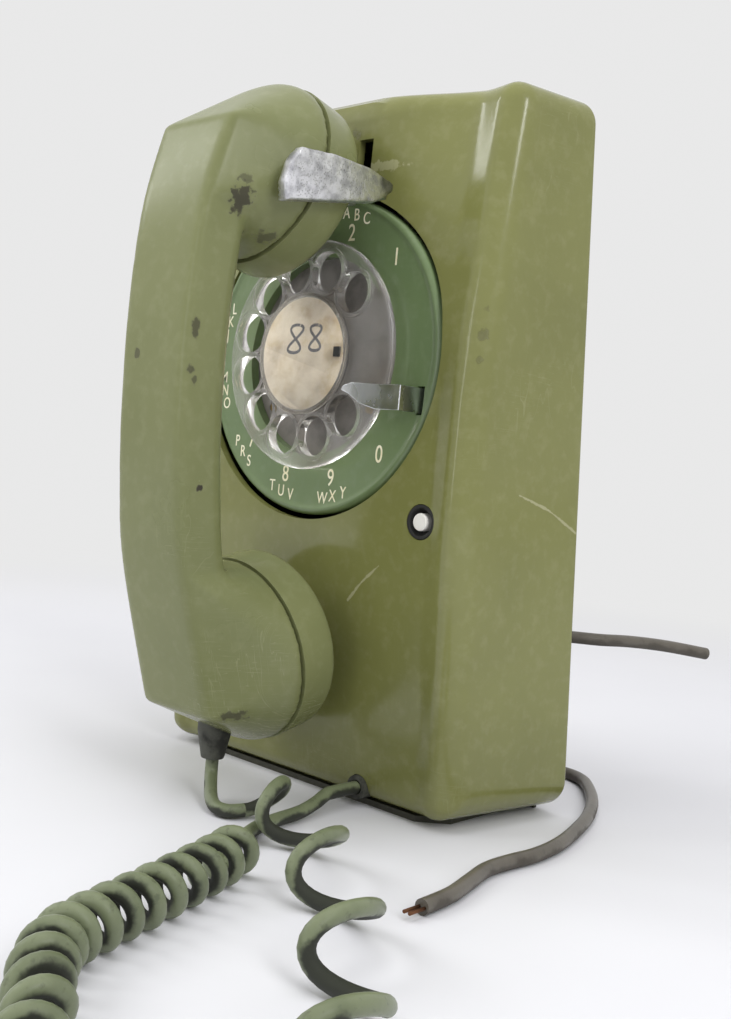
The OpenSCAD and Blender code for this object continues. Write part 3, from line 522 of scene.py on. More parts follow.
def remesh(obj, voxel, rounds):
    """One even skin over everything in obj, smoothed a few rounds."""
    skin = obj.modifiers.new("skin", "REMESH")
    skin.mode = "VOXEL"
    skin.voxel_size = voxel * MM
    smooth = obj.modifiers.new("smooth", "SMOOTH")
    smooth.factor = 0.5
    smooth.iterations = rounds
    bake(obj)
    obj.data.shade_smooth()


def dress(obj, material, slot, body, *nodes):
    """Gives a piece its finish and body, and hides the CAD nodes that it stands for; one that bends has no
    body.
    """
    obj.data.materials.clear()
    obj.data.materials.append(material)
    if body:
        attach(obj, body)
    if nodes:
        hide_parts(*nodes)
    return obj


def cut(obj, *cutters):
    """Takes the cutters out of obj and removes them."""
    for cutter in cutters:
        step = obj.modifiers.new("cut", "BOOLEAN")
        step.operation, step.solver, step.object = "DIFFERENCE", "MANIFOLD", cutter
    bake(obj)
    for cutter in cutters:
        bpy.data.objects.remove(cutter)


def ring_faces(rings, sides):
    """Faces of a skin over rings of points, closed at both ends."""
    following = [(k + 1) % sides for k in range(sides)]
    faces = [(low + k, low + following[k], low + sides + following[k], low + sides + k)
             for low in range(0, (rings - 1) * sides, sides) for k in range(sides)]
    end = (rings - 1) * sides
    return faces + [tuple(range(sides))[::-1], tuple(range(end, end + sides))]


def rod_y(name, x, z, radius, y0, y1, sides=96):
    """A cylinder along Y."""
    turn = [2 * math.pi * k / sides for k in range(sides)]
    ring = [(x + radius * math.cos(a), z + radius * math.sin(a)) for a in turn]
    points = [(px, y, pz) for y in (y0, y1) for px, pz in ring]
    obj = mesh_object(name, points, ring_faces(2, sides))
    face_outwards(obj)
    return obj


def block(name, low, high):
    """A box between two corners."""
    points = [(x, y, z) for x in (low[0], high[0]) for y in (low[1], high[1]) for z in (low[2], high[2])]
    faces = [(0, 1, 3, 2), (4, 6, 7, 5), (0, 4, 5, 1), (2, 3, 7, 6), (0, 2, 6, 4), (1, 5, 7, 3)]
    obj = mesh_object(name, points, faces)
    face_outwards(obj)
    return obj


def plain_mesh(name, bm):
    """An object from a finished bmesh."""
    mesh = bpy.data.meshes.new(name)
    bm.to_mesh(mesh)
    bm.free()
    return linked(name, mesh)


def join(name, objects):
    """One object in place of several."""
    bm = bmesh.new()
    for obj in objects:
        bm.from_mesh(obj.data)
        bpy.data.objects.remove(obj)
    return plain_mesh(name, bm)


# Cords

def spline(a, b, c, d, t):
    """A point of the smooth curve from b to c, between the neighbours a and d."""
    square = 2 * a - 5 * b + 4 * c - d
    cube = 3 * b - a - 3 * c + d
    return 0.5 * (2 * b + (c - a) * t + square * t * t + cube * t ** 3)


def smooth_path(points, steps):
    """A smooth curve through points, with so many steps between each two."""
    points = np.asarray(points, float)
    last = len(points) - 1
    path = [spline(points[max(i - 1, 0)], points[i], points[i + 1], points[min(i + 2, last)], k / steps)
            for i in range(last) for k in range(steps)]
    return np.array(path + [points[last]])


def tube(name, path, radius, sides, middle):
    """A round tube along path; its 'inside' attribute is 1 where it faces the points in middle."""
    ahead = np.gradient(path, axis=0)
    ahead /= np.linalg.norm(ahead, axis=1)[:, None]
    normal = np.array([0.3, 0.5, 0.8])
    points, inside = [], []
    for i, spot in enumerate(path):
        normal = normal - normal.dot(ahead[i]) * ahead[i]
        normal /= np.linalg.norm(normal)
        across = np.cross(ahead[i], normal)
        inward = middle[i] - spot
        for k in range(sides):
            a = 2 * math.pi * k / sides
            out = math.cos(a) * normal + math.sin(a) * across
            points.append(spot + radius * out)
            inside.append(0.5 + 0.5 * float(out.dot(inward) / (np.linalg.norm(inward) + 1e-6)))
    obj = mesh_object(name, points, ring_faces(len(path), sides))
    layer = obj.data.attributes.new("inside", "FLOAT", "POINT")
    layer.data.foreach_set("value", np.array(inside, np.float32))
    shade(obj, 50)
    return obj


CORD_D, CABLE_D = 4.3, 4.4
CORD_SIDES, CABLE_SIDES = 14, 16
CURL_STEPS, ROUTE_STEPS = 24, 6
# The side of a straight run that is darkened with painted shade and soiling
UNDERSIDE = np.array([0, 0, -9])
# Curl count, axis x, y, z, curl radius, lean of the curls
CURL_KNOTS = np.array([
    (0, 22, -64, 7.2, 4.6, 0), (0.3, 31, -64.5, 9, 6.2, 10), (0.75, 47, -70, 10, 8, 35),
    (1.25, 66, -80.5, 9.8, 8.8, 42), (1.75, 87, -94, 9.4, 8.8, 42), (2.25, 105, -108, 9.3, 8.6, 42),
    (2.75, 122, -124, 9.3, 8.4, 42), (3.25, 138, -141, 9.2, 8.2, 42), (4, 157, -164, 9, 7.6, 35),
    (5, 172, -185, 8.5, 6.4, 15), (6.2, 181, -202, 7.7, 5.2, 0), (8, 184, -219, 7.7, 5.2, 0),
    (10.5, 174, -237, 7.7, 5.2, 0), (13, 152, -238.5, 7.7, 5.2, 0), (14.5, 136, -225, 7.7, 5.2, 0),
    (16, 122, -206, 7.6, 5.2, 0), (18, 108.5, -190.5, 7.6, 5.2, 0), (20, 92.4, -179.6, 7.6, 5.2, 0),
    (22, 80.5, -168, 7.6, 5.2, 0), (24, 75.6, -154, 7.6, 5.2, 0), (26, 71.5, -139, 7.6, 5.2, 0),
    (28, 66.5, -122.5, 7.6, 5.2, 0), (30, 61, -106.5, 7.6, 5.2, 0), (31, 57, -98.5, 7.4, 5, 0)])
HANDSET_LEAD = [(0, -60, 13.5), (0, -60, 9.2), (2.5, -62, 6.2), (8.5, -66.5, 3.5), (14.5, -69.5, 2.6),
                (19.5, -69, 2.5)]
HOUSING_LEAD = [(52, -99.5, 2.4), (46, -93, 2.4), (41, -82, 2.5), (36.5, -72, 2.6), (34.5, -62, 2.7),
                (34, -52, 3.2), (33, -44, 4.6), (32, -38.5, 6.2), (32, -35, 6.5), (32, -24.5, 6.5)]
SIDE_ROUTE = [(30, 27, 14), (30, 38, 14), (31, 50, 12), (35, 62, 7), (42, 71, 3), (52, 74.5, 2.3),
              (61, 71, 2.3), (70, 61, 2.3), (79, 48, 2.3), (87, 32, 2.3), (93, 15, 2.3), (97.5, -2, 2.3),
              (99, -17, 2.3), (98, -29, 2.3), (98, -40, 2.3), (101, -52, 2.3), (104, -64, 2.3),
              (105, -77, 2.3)]
BACK_ROUTE = [(45, 22, 57), (45, 32, 57), (50, 42, 57.5), (60, 50, 58), (70, 58, 58), (75, 71, 57.5),
              (81, 87, 56), (89, 104, 53.5)]


def curl_axis(count):
    """Axis place, curl radius and lean after so many curls."""
    knots = CURL_KNOTS
    i = int(np.clip(np.searchsorted(knots[:, 0], count, "right") - 1, 0, len(knots) - 2))
    t = (count - knots[i, 0]) / (knots[i + 1, 0] - knots[i, 0])
    pick = [knots[min(max(i + k, 0), len(knots) - 1), 1:] for k in (-1, 0, 1, 2)]
    return spline(*pick, t)


def curl_point(count):
    """A point of the cord and the point of the curls' axis beside it."""
    near, total = 0.1, CURL_KNOTS[-1, 0]
    axis = curl_axis(count)
    run = curl_axis(min(count + near, total)) - curl_axis(max(count - near, 0))
    ahead = np.array([run[0], run[1], 0]) / math.hypot(run[0], run[1])
    side = np.array([ahead[1], -ahead[0], 0])
    lean = math.radians(axis[4])
    up = math.cos(lean) * np.array([0, 0, 1]) + math.sin(lean) * ahead
    turn = math.radians(360 * count + 90)
    return axis[:3] + axis[3] * (math.cos(turn) * side - math.sin(turn) * up), axis[:3]


def make_handset_cord():
    curls = [curl_point(i / CURL_STEPS) for i in range(int(CURL_KNOTS[-1, 0] * CURL_STEPS) + 1)]
    start = smooth_path(HANDSET_LEAD + [tuple(curls[0][0])], ROUTE_STEPS)[:-1]
    end = smooth_path([tuple(curls[-1][0])] + HOUSING_LEAD, ROUTE_STEPS)[1:]
    path = np.vstack([start, [c[0] for c in curls], end])
    # The cord's painted shade faces the curls' axis and the ground under the straight leads
    middle = np.vstack([start + UNDERSIDE, [c[1] for c in curls], end + UNDERSIDE])
    obj = tube("curly_cord", path, CORD_D / 2, CORD_SIDES, middle)
    dress(obj, cord_rubber, "cord", None, "handset_cord")
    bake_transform(obj)


def make_cable(name, route, node):
    path = smooth_path(route, ROUTE_STEPS)
    # The cable's painted shade faces down
    obj = tube(name, path, CABLE_D / 2, CABLE_SIDES, path + UNDERSIDE)
    dress(obj, cable_rubber, "cable", "body", node)


make_handset_cord()
wire_tips = dress(node_copy("wire_ends"), copper_metal, "copper", "body", "wire_ends")
make_cable("side_cable", SIDE_ROUTE, "line_cable_side")
make_cable("back_cable", BACK_ROUTE, "line_cable_back")


# Housing: a level-set shape, so that rails, coves and corners run into each other smoothly

# Where rails and panel start to draw back, over what height, and by how much
RAIL_TOP_Z, RAIL_TOP_RUN, RAIL_TOP_DRAW = 135, 95, 10
RAIL_FOOT_Z, RAIL_FOOT_RUN, RAIL_FOOT_DRAW = 100, 91, 6.5
PANEL_TOP_Z, PANEL_TOP_RUN, PANEL_TOP_DRAW = 157, 72, 1.5
PANEL_FOOT_Z, PANEL_FOOT_RUN, PANEL_FOOT_DRAW = 88, 77, 6.5
# The panel's upper sides fall back further than its middle
COVE_X, COVE_RUN, COVE_DRAW = 14, 44, 9.5
# The panel meets the rails at a crease that moves inwards towards the top
CREASE_X, CREASE_SHIFT, RAIL_X = 57.5, 4.5, 66
# The top face's rise, the foot's gap in front, and its fall towards the back
TOP_RAISE, FOOT_GAP, FOOT_FALL = 1.3, 2.8, 0.8
TOP_R, FOOT_R, BACK_R = 7.0, 6.0, 1.6
SIDE_R, SIDE_R_FOOT, SIDE_R_RUN = 8.4, 3, 40
# A slanting face is nearer than it is along one axis, by these shares
FRONT_SLANT, SIDE_SLANT, BACK_SLANT = 0.97, 0.99, 0.996
DIAL_HOLE_R, BUTTON_HOLE_R, CORD_HOLE_R = 56, 5.65, 4.15
HOLE_FRONT, HOLE_BACK, CORD_HOLE_BACK = -45, -20, -12
SLOT_X, SLOT_HALF, SLOT_LOW, SLOT_HIGH = 15, 3, 204.6, 221
RIB_LOW, RIB_HIGH = (-70, 3.5, 228.5), (70, 9.4, 235)


def round_max(a, b, radius):
    """Meeting of two faces with a round edge."""
    u, v = np.maximum(a + radius, 0), np.maximum(b + radius, 0)
    return np.minimum(np.maximum(a, b), -radius) + np.hypot(u, v)


def bend(t, soft=0.15):
    """0 below zero, then t itself, with a soft bend between."""
    return 0.5 * (t + np.sqrt(t * t + soft * soft)) - 0.25 * soft * np.exp(-np.abs(t) / soft)


def smooth_step(t):
    t = np.clip(t, 0, 1)
    return t * t * (3 - 2 * t)


def rail_front(z):
    """Side view of the rails: furthest forward beside the dial, drawn back at top and foot."""
    top = RAIL_TOP_DRAW * bend((z - RAIL_TOP_Z) / RAIL_TOP_RUN)
    foot = RAIL_FOOT_DRAW * bend((RAIL_FOOT_Z - z) / RAIL_FOOT_RUN)
    return RAIL_Y + top + foot


def back_face(z):
    """Side view of the leaning back."""
    return BODY_D / 2 - LEAN * z


def housing_level(p):
    """Signed distance (mm) to the housing's outer face."""
    x, y, z = np.abs(p[:, 0]), p[:, 1], p[:, 2]
    rise = bend((z - PANEL_TOP_Z) / PANEL_TOP_RUN)
    rails, back = rail_front(z), back_face(z)
    draw = rise * (PANEL_TOP_DRAW + COVE_DRAW * smooth_step((x - COVE_X) / COVE_RUN))
    panel = PANEL_Y + draw + PANEL_FOOT_DRAW * bend((PANEL_FOOT_Z - z) / PANEL_FOOT_RUN)
    crease = CREASE_X - CREASE_SHIFT * rise
    share = np.minimum(bend((x - crease) / (RAIL_X - crease), 0.1), 1.0)
    half = FRONT_W / 2 + (BACK_W - FRONT_W) / 2 * (y - rails) / (back - rails)
    front = (panel + (rails - panel) * share - y) * FRONT_SLANT
    top = z - BODY_H - TOP_RAISE
    foot = FOOT_GAP - FOOT_FALL * (y - RAIL_Y) / BODY_D - z
    level = round_max(round_max(front, top, TOP_R), foot, FOOT_R)
    side_radius = SIDE_R + SIDE_R_FOOT * bend((SIDE_R_RUN - z) / SIDE_R_RUN)
    level = round_max(level, (x - half) * SIDE_SLANT, side_radius)
    return round_max(level, (y - back) * BACK_SLANT, BACK_R)


def settle(points, level, offset=0.0):
    """Moves points onto the surface where level equals offset."""
    points = points.copy()
    rounds, near, least_slope = 12, 0.01, 0.2
    for _ in range(rounds):
        value = level(points) - offset
        slope = np.stack([(level(points + step) - level(points - step)) / (2 * near)
                          for step in np.eye(3) * near], axis=1)
        points -= value[:, None] * slope / np.maximum((slope ** 2).sum(1), least_slope)[:, None]
    return points


def graded(count, focus):
    """Places between -1 and 1, closer together towards both ends."""
    u = np.linspace(-1, 1, count)
    return (1 - focus) * u + focus * np.sin(u * math.pi / 2)


def housing_grid():
    """Points on a plain block with an open back, its faces, and the ring of points round the back."""
    xs, zs, ys = graded(97, 0.75), graded(91, 0.7), (graded(41, 0.6) + 1) / 2
    index, points, faces = {}, [], []

    def add(x, depth, z):
        key = (round(x, 6), round(depth, 6), round(z, 6))
        if key not in index:
            index[key] = len(points)
            height = BODY_H / 2 + z * BODY_H / 2
            front = float(rail_front(height))
            y = front + depth * (back_face(height) - front)
            points.append((x * (FRONT_W / 2 + depth * (BACK_W - FRONT_W) / 2), y, height))
        return index[key]

    def sheet(us, vs, place):
        for u0, u1 in zip(us, us[1:]):
            for v0, v1 in zip(vs, vs[1:]):
                corners = ((u0, v0), (u1, v0), (u1, v1), (u0, v1))
                faces.append(tuple(add(*place(u, v)) for u, v in corners))

    sheet(xs, zs, lambda u, v: (u, 0.0, v))
    for side in (-1.0, 1.0):
        sheet(ys, zs, lambda u, v: (side, u, v))
        sheet(xs, ys, lambda u, v: (u, v, side))
    ring = [add(x, 1.0, -1.0) for x in xs] + [add(1.0, 1.0, z) for z in zs[1:]]
    ring += [add(x, 1.0, 1.0) for x in xs[::-1][1:]] + [add(-1.0, 1.0, z) for z in zs[::-1][1:-1]]
    return np.array(points, float), faces, ring


def make_housing():
    grid, faces, ring = housing_grid()
    count, n = len(grid), len(ring)
    outer = settle(grid, housing_level)
    inner = settle(grid, housing_level, -WALL)
    inner[ring, 1] = back_face(inner[ring, 2])
    rims = []
    for share in (0.35, 0.75):
        rim = outer[ring] * (1 - share) + inner[ring] * share
        rim[:, 1] = back_face(rim[:, 2])
        rims.append(rim)
    all_faces = faces + [tuple(count + i for i in face[::-1]) for face in faces]
    rim_loops = [range(first, first + n) for first in (2 * count, 2 * count + n)]
    loops = [ring] + rim_loops + [[count + i for i in ring]]
    for low, high in zip(loops, loops[1:]):
        all_faces += [(low[k], low[(k + 1) % n], high[(k + 1) % n], high[k]) for k in range(n)]
    obj = mesh_object("housing_shell", np.vstack([outer, inner] + rims), all_faces)
    face_outwards(obj)
    slots = [block("slot", (x - SLOT_HALF, HOLE_FRONT, SLOT_LOW), (x + SLOT_HALF, HOLE_BACK, SLOT_HIGH))
             for x in (-SLOT_X, SLOT_X)]
    cut(obj, rod_y("dial_hole", 0, DIAL_Z, DIAL_HOLE_R, HOLE_FRONT, HOLE_BACK, 160),
        rod_y("button_hole", BUTTON_X, BUTTON_Z, BUTTON_HOLE_R, HOLE_FRONT, HOLE_BACK),
        rod_y("cord_hole", CORD_HOLE_X, CORD_HOLE_Z, CORD_HOLE_R, HOLE_FRONT, CORD_HOLE_BACK), *slots)
    obj = join("housing_shell", [obj, block("rib", RIB_LOW, RIB_HIGH)])
    shade(obj, 30)
    dress(obj, olive_plastic, "housing", "body", "housing")


make_housing()


# Handset: handle swept through its slices, with both bowls drawn out to its ends

HANDLE_T, RIDGE_R, RIDGE_INSET, SOFT_R, CAP_H = 18.0, 2.5, 1, 6.0, 15.7
SLICE_STEPS, BOWL_SIDES = 8, 96
# Height, outer face, half width
SLICES = [(31, -77.5, 18), (76, -91.2, 17.4), (101, -95.1, 17), (127, -97, 16.7), (158, -97, 17),
          (188, -94.2, 17.6), (213, -87.6, 18.5)]
# Middle of the cap's open face, tilt, seam radius
LOWER_BOWL = ((0, -36.7, 52.7), -13.4, 30.6)
UPPER_BOWL = ((0, -45, 199.4), 12.3, 29.6)
# Distance behind the seam, and how much narrower the bowl is there
BOWL_PROFILE = [(0.15, 0), (2, 0.05), (4, 0.4), (6, 1.3), (8, 2.7), (11, 5.2), (14, 8), (17, 11.2),
                (19.5, 14)]


def slice_ring(half):
    """Outline of a handle slice: crisp ridges outside, soft corners towards the housing."""
    ridge, soft = half - RIDGE_R - RIDGE_INSET, half - SOFT_R
    inner = HANDLE_T - SOFT_R
    corners = [(ridge, RIDGE_R, RIDGE_R, 270), (soft, inner, SOFT_R, 0),
               (-soft, inner, SOFT_R, 90), (-ridge, RIDGE_R, RIDGE_R, 180)]
    turns = [math.radians(10 * k) for k in range(10)]
    return [(x + r * math.cos(math.radians(start) + turn), y + r * math.sin(math.radians(start) + turn))
            for x, y, r, start in corners for turn in turns]


def handle_rings(first, last):
    """Outlines of the handle between two of its slices."""
    path = smooth_path(SLICES, SLICE_STEPS)[first * SLICE_STEPS:last * SLICE_STEPS + 1]
    return [[(x, y0 + y, z) for x, y in slice_ring(half)] for z, y0, half in path]


def bowl_rings(middle, tilt, radius):
    """Circles of the bowl behind a cap, from the seam outwards."""
    a = math.radians(tilt)
    axis = np.array([0, -math.cos(a), math.sin(a)])
    up = np.array([0, math.sin(a), math.cos(a)])
    side = np.array([1.0, 0, 0])
    circle = [math.cos(t) * side + math.sin(t) * up
              for t in np.linspace(0, 2 * math.pi, BOWL_SIDES, endpoint=False)]
    return [[np.array(middle) + axis * (CAP_H + behind) + (radius - less) * out for out in circle]
            for behind, less in BOWL_PROFILE]


def hull_object(name, rings):
    """A tight skin round rings of points."""
    bm = bmesh.new()
    for ring in rings:
        for spot in ring:
            bm.verts.new(Vector(spot) * MM)
    bmesh.ops.convex_hull(bm, input=bm.verts)
    bmesh.ops.delete(bm, geom=[v for v in bm.verts if not v.link_faces], context="VERTS")
    bmesh.ops.recalc_face_normals(bm, faces=bm.faces)
    return plain_mesh(name, bm)


def make_handset():
    last = len(SLICES) - 1
    rings = handle_rings(0, last)
    handle = mesh_object("handle", [spot for ring in rings for spot in ring],
                         ring_faces(len(rings), len(rings[0])))
    face_outwards(handle)
    lower = hull_object("lower", bowl_rings(*LOWER_BOWL) + handle_rings(0, 1))
    upper = hull_object("upper", bowl_rings(*UPPER_BOWL) + handle_rings(last - 1, last))
    obj = join("handset_body", [handle, lower, upper])
    remesh(obj, 0.9, 14)
    dress(obj, handset_plastic, "handset", "handset", "handset_shell")
    for node in ("receiver_cap", "transmitter_cap"):
        dress(node_copy(node, 0.4), handset_plastic, "handset", "handset", node)
    relief = node_copy("strain_relief")
    remesh(relief, 0.45, 4)
    dress(relief, grey_rubber, "relief", "handset", "strain_relief")


make_handset()


# Dial, hook, button and foot

# Sizes and radii of the characters on the number plate, and angles in degrees
DIGIT_SIZE, LETTER_SIZE, LETTER_SQUEEZE = 8.2, 5.8, 0.82
DIGIT_R, END_DIGIT_R, LETTER_R = 42.8, 45.4, 49.0
FIRST_HOLE, HOLE_STEP, LETTER_STEP = 45, 30, 5.8
LETTER_GROUPS = {2: "ABC", 3: "DEF", 4: "GHI", 5: "JKL", 6: "MNO", 7: "PRS", 8: "TUV", 9: "WXY"}
# Radius and depth round the number plate's section: flat face, raised rim, back
PLATE_OUTLINE = [(34, 0), (40, 0), (46, 0), (50.3, 0), (51, -0.05), (51.6, -0.2), (52.1, -0.4), (52.5, -0.5),
                 (53.2, -0.38), (53.8, -0.02), (54.3, 0.6), (54.5, 1.5), (54.5, 3.4), (34, 3.4)]
STOP_NOTCH = ((46.2, PLATE_Y - 2, DIAL_Z - 18.6), (49, PLATE_Y + 5, DIAL_Z - 9.4))
RETAINER_NOTCH = ((15.7, -36.4, 147.9), (18.3, -35.1, 151.2))
INK_Y, PEN_WIDTH, PEN_STEPS = -35.03, 1.05, 6
# Middle, half width, half height and lean of the two pen-written digits
PEN_DIGITS = [(-3.6, 154.0, 3.0, 4.75, 0.13), (5.9, 154.3, 2.6, 4.3, 0)]
# The base plate's foot is cut back between two heights in front, across its front corners and at the back
FOOT_CUT = (-1, 2.4)
FRONT_TRIM_Y, CORNER_OUT, CORNER_IN = -18.8, (70, -2.5), (45, -27.5)
BACK_CORNER = ((66.5, 10, -1), (80, 40, 8))


def letter_mesh(text, size, x, z):
    """Points and faces of an upright character on the number plate."""
    curve = bpy.data.curves.new("character", "FONT")
    curve.body, curve.size = text, size
    curve.align_x, curve.align_y = "CENTER", "CENTER"
    curve.extrude, curve.resolution_u, curve.offset = 0.06, 6, 0.02
    holder = linked("character", curve)
    bpy.context.view_layer.update()
    graph = bpy.context.evaluated_depsgraph_get()
    mesh = bpy.data.meshes.new_from_object(holder.evaluated_get(graph))
    just_above = PLATE_Y - 0.02
    points = [(x + v.co.x * LETTER_SQUEEZE, just_above - v.co.z, z + v.co.y) for v in mesh.vertices]
    faces = [tuple(p.vertices) for p in mesh.polygons]
    bpy.data.objects.remove(holder)
    return points, faces


def make_lettering():
    """Plain numbers beside the finger holes, and the usual groups of letters outside them."""
    points, faces = [], []

    def write(text, size, radius, angle):
        a = math.radians(angle)
        more, sides = letter_mesh(text, size, radius * math.cos(a), DIAL_Z + radius * math.sin(a))
        base = len(points)
        points.extend(more)
        faces.extend(tuple(base + i for i in side) for side in sides)

    for i in range(10):
        digit, angle = (i + 1) % 10, FIRST_HOLE + HOLE_STEP * i
        write(str(digit), DIGIT_SIZE, END_DIGIT_R if digit in (0, 1) else DIGIT_R, angle)
        for k, letter in enumerate(LETTER_GROUPS.get(digit, "")):
            turn = (k - 1) * LETTER_STEP
            write(letter, LETTER_SIZE, LETTER_R, angle - turn if angle < 180 else angle + turn)
    obj = mesh_object("dial_numbers", points, faces)
    merge_doubles(obj)
    face_outwards(obj)
    dress(obj, lettering, "card", "body")


def pen_stroke(points):
    """A pen stroke on the card as a flat ribbon."""
    path = smooth_path(points, PEN_STEPS)
    ahead = np.gradient(path, axis=0)
    side = np.stack([-ahead[:, 2], ahead[:, 1] * 0, ahead[:, 0]], axis=1)
    side *= PEN_WIDTH / 2 / np.linalg.norm(side, axis=1)[:, None]
    n = len(path)
    faces = [(i, i + 1, n + i + 1, n + i) for i in range(n - 1)]
    return mesh_object("pen_stroke", np.vstack([path + side, path - side]), faces)


def make_card_number():
    """A pen-written number on the card, in two strokes."""
    strokes = []
    for x, z, half_width, half_height, lean in PEN_DIGITS:
        line = []
        for a in np.linspace(0.25, 2 * math.pi + 0.2, 18):
            across, up = half_width * math.sin(2 * a), half_height * math.cos(a)
            line.append((x + across + lean * up, INK_Y, z + up))
        strokes.append(pen_stroke(line))
    dress(join("card_number", strokes), ink, "black", "dial")


def make_turned_ring():
    """Geometry nodes that turn a closed outline once round an axis along Y."""
    data = bpy.data.node_groups.new("Turned ring", "GeometryNodeTree")
    inputs = {"Outline": "Geometry", "Radius": "Float", "Sides": "Int", "Middle": "Vector",
              "Finish": "Material"}
    for label, kind in inputs.items():
        data.interface.new_socket(label, in_out="INPUT", socket_type="NodeSocket" + kind)
    data.interface.new_socket("Ring", in_out="OUTPUT", socket_type="NodeSocketGeometry")
    tree = Tree(data)
    given = tree.add("NodeGroupInput").outputs
    outline = tree.add("GeometryNodeMeshToCurve", Mesh=given["Outline"]).outputs[0]
    circle = tree.add("GeometryNodeCurvePrimitiveCircle", Resolution=given["Sides"], Radius=given["Radius"])
    swept = tree.add("GeometryNodeCurveToMesh", Curve=circle.outputs[0], Profile_Curve=outline).outputs[0]
    upright = tree.add("GeometryNodeTransform", Geometry=swept, Translation=given["Middle"],
                       Rotation=(math.pi / 2, 0, 0)).outputs[0]
    real = tree.add("GeometryNodeRealizeInstances", Geometry=upright).outputs[0]
    done = tree.add("GeometryNodeSetMaterial", Geometry=real, Material=given["Finish"]).outputs[0]
    tree.add("NodeGroupOutput", Ring=done)
    return data


def make_number_plate():
    """A flat ring with a rounded, slightly raised rim and a notch for the finger stop."""
    radius, n = 45, len(PLATE_OUTLINE)
    points = [(r - radius, depth, 0) for r, depth in PLATE_OUTLINE]
    plate = mesh_object("number_plate_look", points, [], [(k, (k + 1) % n) for k in range(n)])
    turned = plate.modifiers.new("turned", "NODES")
    turned.node_group = make_turned_ring()
    values = {"Radius": radius * MM, "Sides": 192, "Middle": point(0, PLATE_Y, DIAL_Z),
              "Finish": plate_plastic}
    for item in turned.node_group.interface.items_tree:
        if item.name in values:
            turned[item.identifier] = values[item.name]
    bake(plate)
    face_outwards(plate)
    cut(plate, block("notch", *STOP_NOTCH))
    shade(plate, 30)
    dress(plate, plate_plastic, "plate", "body", "number_plate")


def make_dial():
    make_number_plate()
    make_lettering()
    dress(node_copy("finger_wheel", 0.35), wheel_plastic, "clear", "dial", "finger_wheel")
    dress(node_copy("number_card"), card_paper, "card", "dial", "number_card")
    make_card_number()
    dress(node_copy("card_retainer", 0.25), card_cover, "clear", "dial", "card_retainer")
    dress(block("retainer_notch", *RETAINER_NOTCH), black_plastic, "black", "dial")
    dress(node_copy("finger_stop", 0.3), chrome_strip, "chrome", "body", "finger_stop")
    dress(node_copy("dial_frame"), dark_frame, "steel", "body", "dial_frame")


def make_hook():
    hook = node_copy("hook_lever")
    remesh(hook, 0.6, 5)
    dress(hook, cast_metal, "hook", "hook", "hook_lever")


def make_button():
    dress(node_copy("button", 0.5), white_plastic, "white", "button", "button")
    dress(node_copy("button_bush", 0.25), black_plastic, "black", "body", "button_bush")


def front_corner(side):
    """A prism that cuts one front corner off the base plate's foot."""
    (out_x, out_y), (in_x, in_y) = CORNER_OUT, CORNER_IN
    triangle = [(side * out_x, out_y), (side * in_x, in_y), (side * out_x, in_y)]
    points = [(x, y, z) for z in FOOT_CUT for x, y in triangle]
    corner = mesh_object("corner", points, [(0, 1, 2), (3, 4, 5), (0, 1, 4, 3), (1, 2, 5, 4), (2, 0, 3, 5)])
    face_outwards(corner)
    return corner


def make_foot():
    """The cord's grommet, and the pressed plate trimmed to the housing's rounded lower edge."""
    dress(node_copy("cord_grommet", 0.3), grey_rubber, "relief", "body", "cord_grommet")
    plate = node_copy("base_plate")
    cutters = [block("front_trim", (-80, -40, FOOT_CUT[0]), (80, FRONT_TRIM_Y, FOOT_CUT[1]))]
    for side in (-1, 1):
        ends = sorted((side * x, y, z) for x, y, z in BACK_CORNER)
        cutters += [front_corner(side), block("back_corner", *ends)]
    cut(plate, *cutters)
    plate.data.shade_flat()
    dress(plate, painted_steel, "steel", "body", "base_plate")


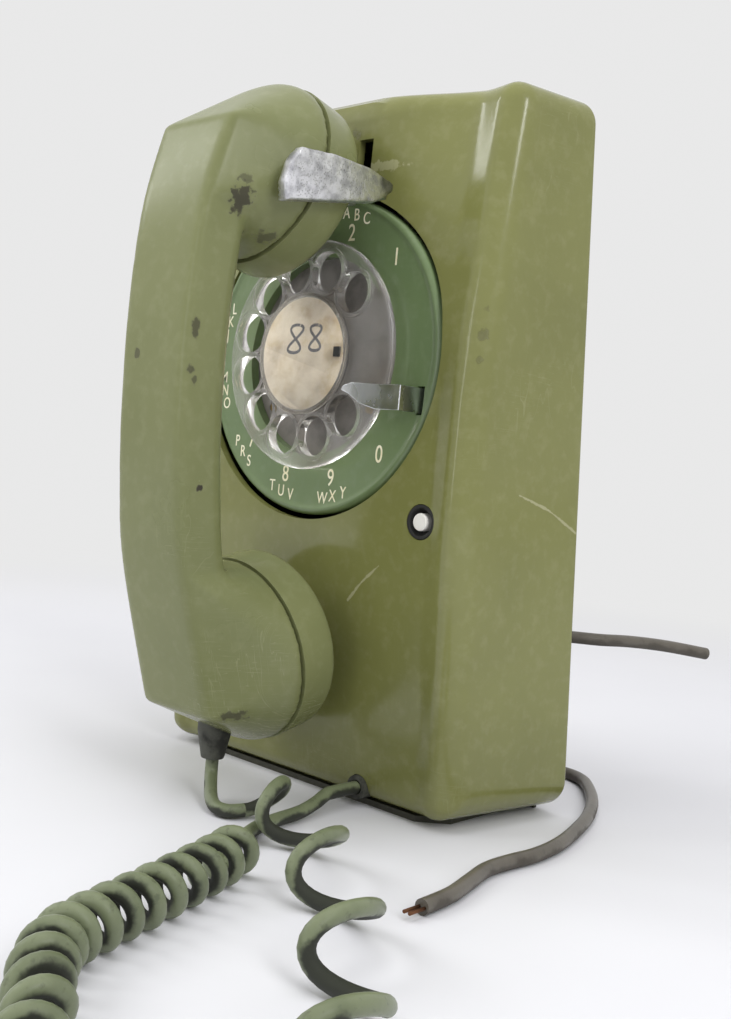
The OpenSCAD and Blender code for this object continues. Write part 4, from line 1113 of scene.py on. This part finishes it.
def make_button_spring():
    spring = dress(node_copy("button_spring"), plated_steel, "steel", "body", "button_spring")
    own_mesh(spring)


make_dial()
make_hook()
make_button()
make_foot()
make_button_spring()


# Everything inside keeps its CAD shape and takes a finish by its slot

FINISH_OF_SLOT = {"steel": plated_steel, "brass": brass_metal, "copper": copper_metal, "black": black_plastic,
                  "insulator": brown_board, "white": white_plastic, "chrome": chrome_strip}
shown = {s["node"]: s["material_slot"] for s in frame["record"]["subparts"]}
for node, obj in frame["nodes"].items():
    if shown[node] in FINISH_OF_SLOT:
        obj.data.materials.clear()
        obj.data.materials.append(FINISH_OF_SLOT[shown[node]])


# Floor and surroundings

def make_floor():
    """A pale table top that runs into the background beyond the telephone."""
    look = Finish("pale_floor")
    cloud = look.effect(MOTTLE, Scale=6.0, Low=0.3, High=0.8)
    tint = look.mix(look.part(cloud, 0.4), colour("dcdce0"), colour("d5d5da"))
    look.set(Base_Color=tint, Roughness=0.5)
    away = look.vector("LENGTH", object_coordinates(look), output="Value")
    seen = look.add("ShaderNodeLightPath").outputs["Is Camera Ray"]
    glow = look.add("ShaderNodeEmission", Color=colour("eeeeee"), Strength=0.95)
    look.give_way(glow, look.part(look.ramp(away, 0.32, 0.75), seen))
    half = 3000
    corners = [(-half, -half, 0), (half, -half, 0), (half, half, 0), (-half, half, 0)]
    floor = mesh_object("floor", corners, [(0, 1, 2, 3)])
    floor.data.materials.append(look.material)


def make_world():
    """Even pale light, with a near-white background for the camera, metal and glass."""
    world = bpy.data.worlds.new("surroundings")
    world.use_nodes = True
    scene.world = world
    tree = Tree(world.node_tree)
    back = world.node_tree.nodes["Background"]
    rays = tree.add("ShaderNodeLightPath")
    seen = tree.math("MAXIMUM", rays.outputs["Is Camera Ray"], rays.outputs["Is Glossy Ray"])
    seen = tree.math("MAXIMUM", seen, rays.outputs["Is Transmission Ray"])
    back.inputs["Color"].default_value = colour("eeeeee")
    tree.feed(back.inputs["Strength"], tree.math("ADD", 0.5, tree.part(seen, 0.45)))


make_floor()
make_world()
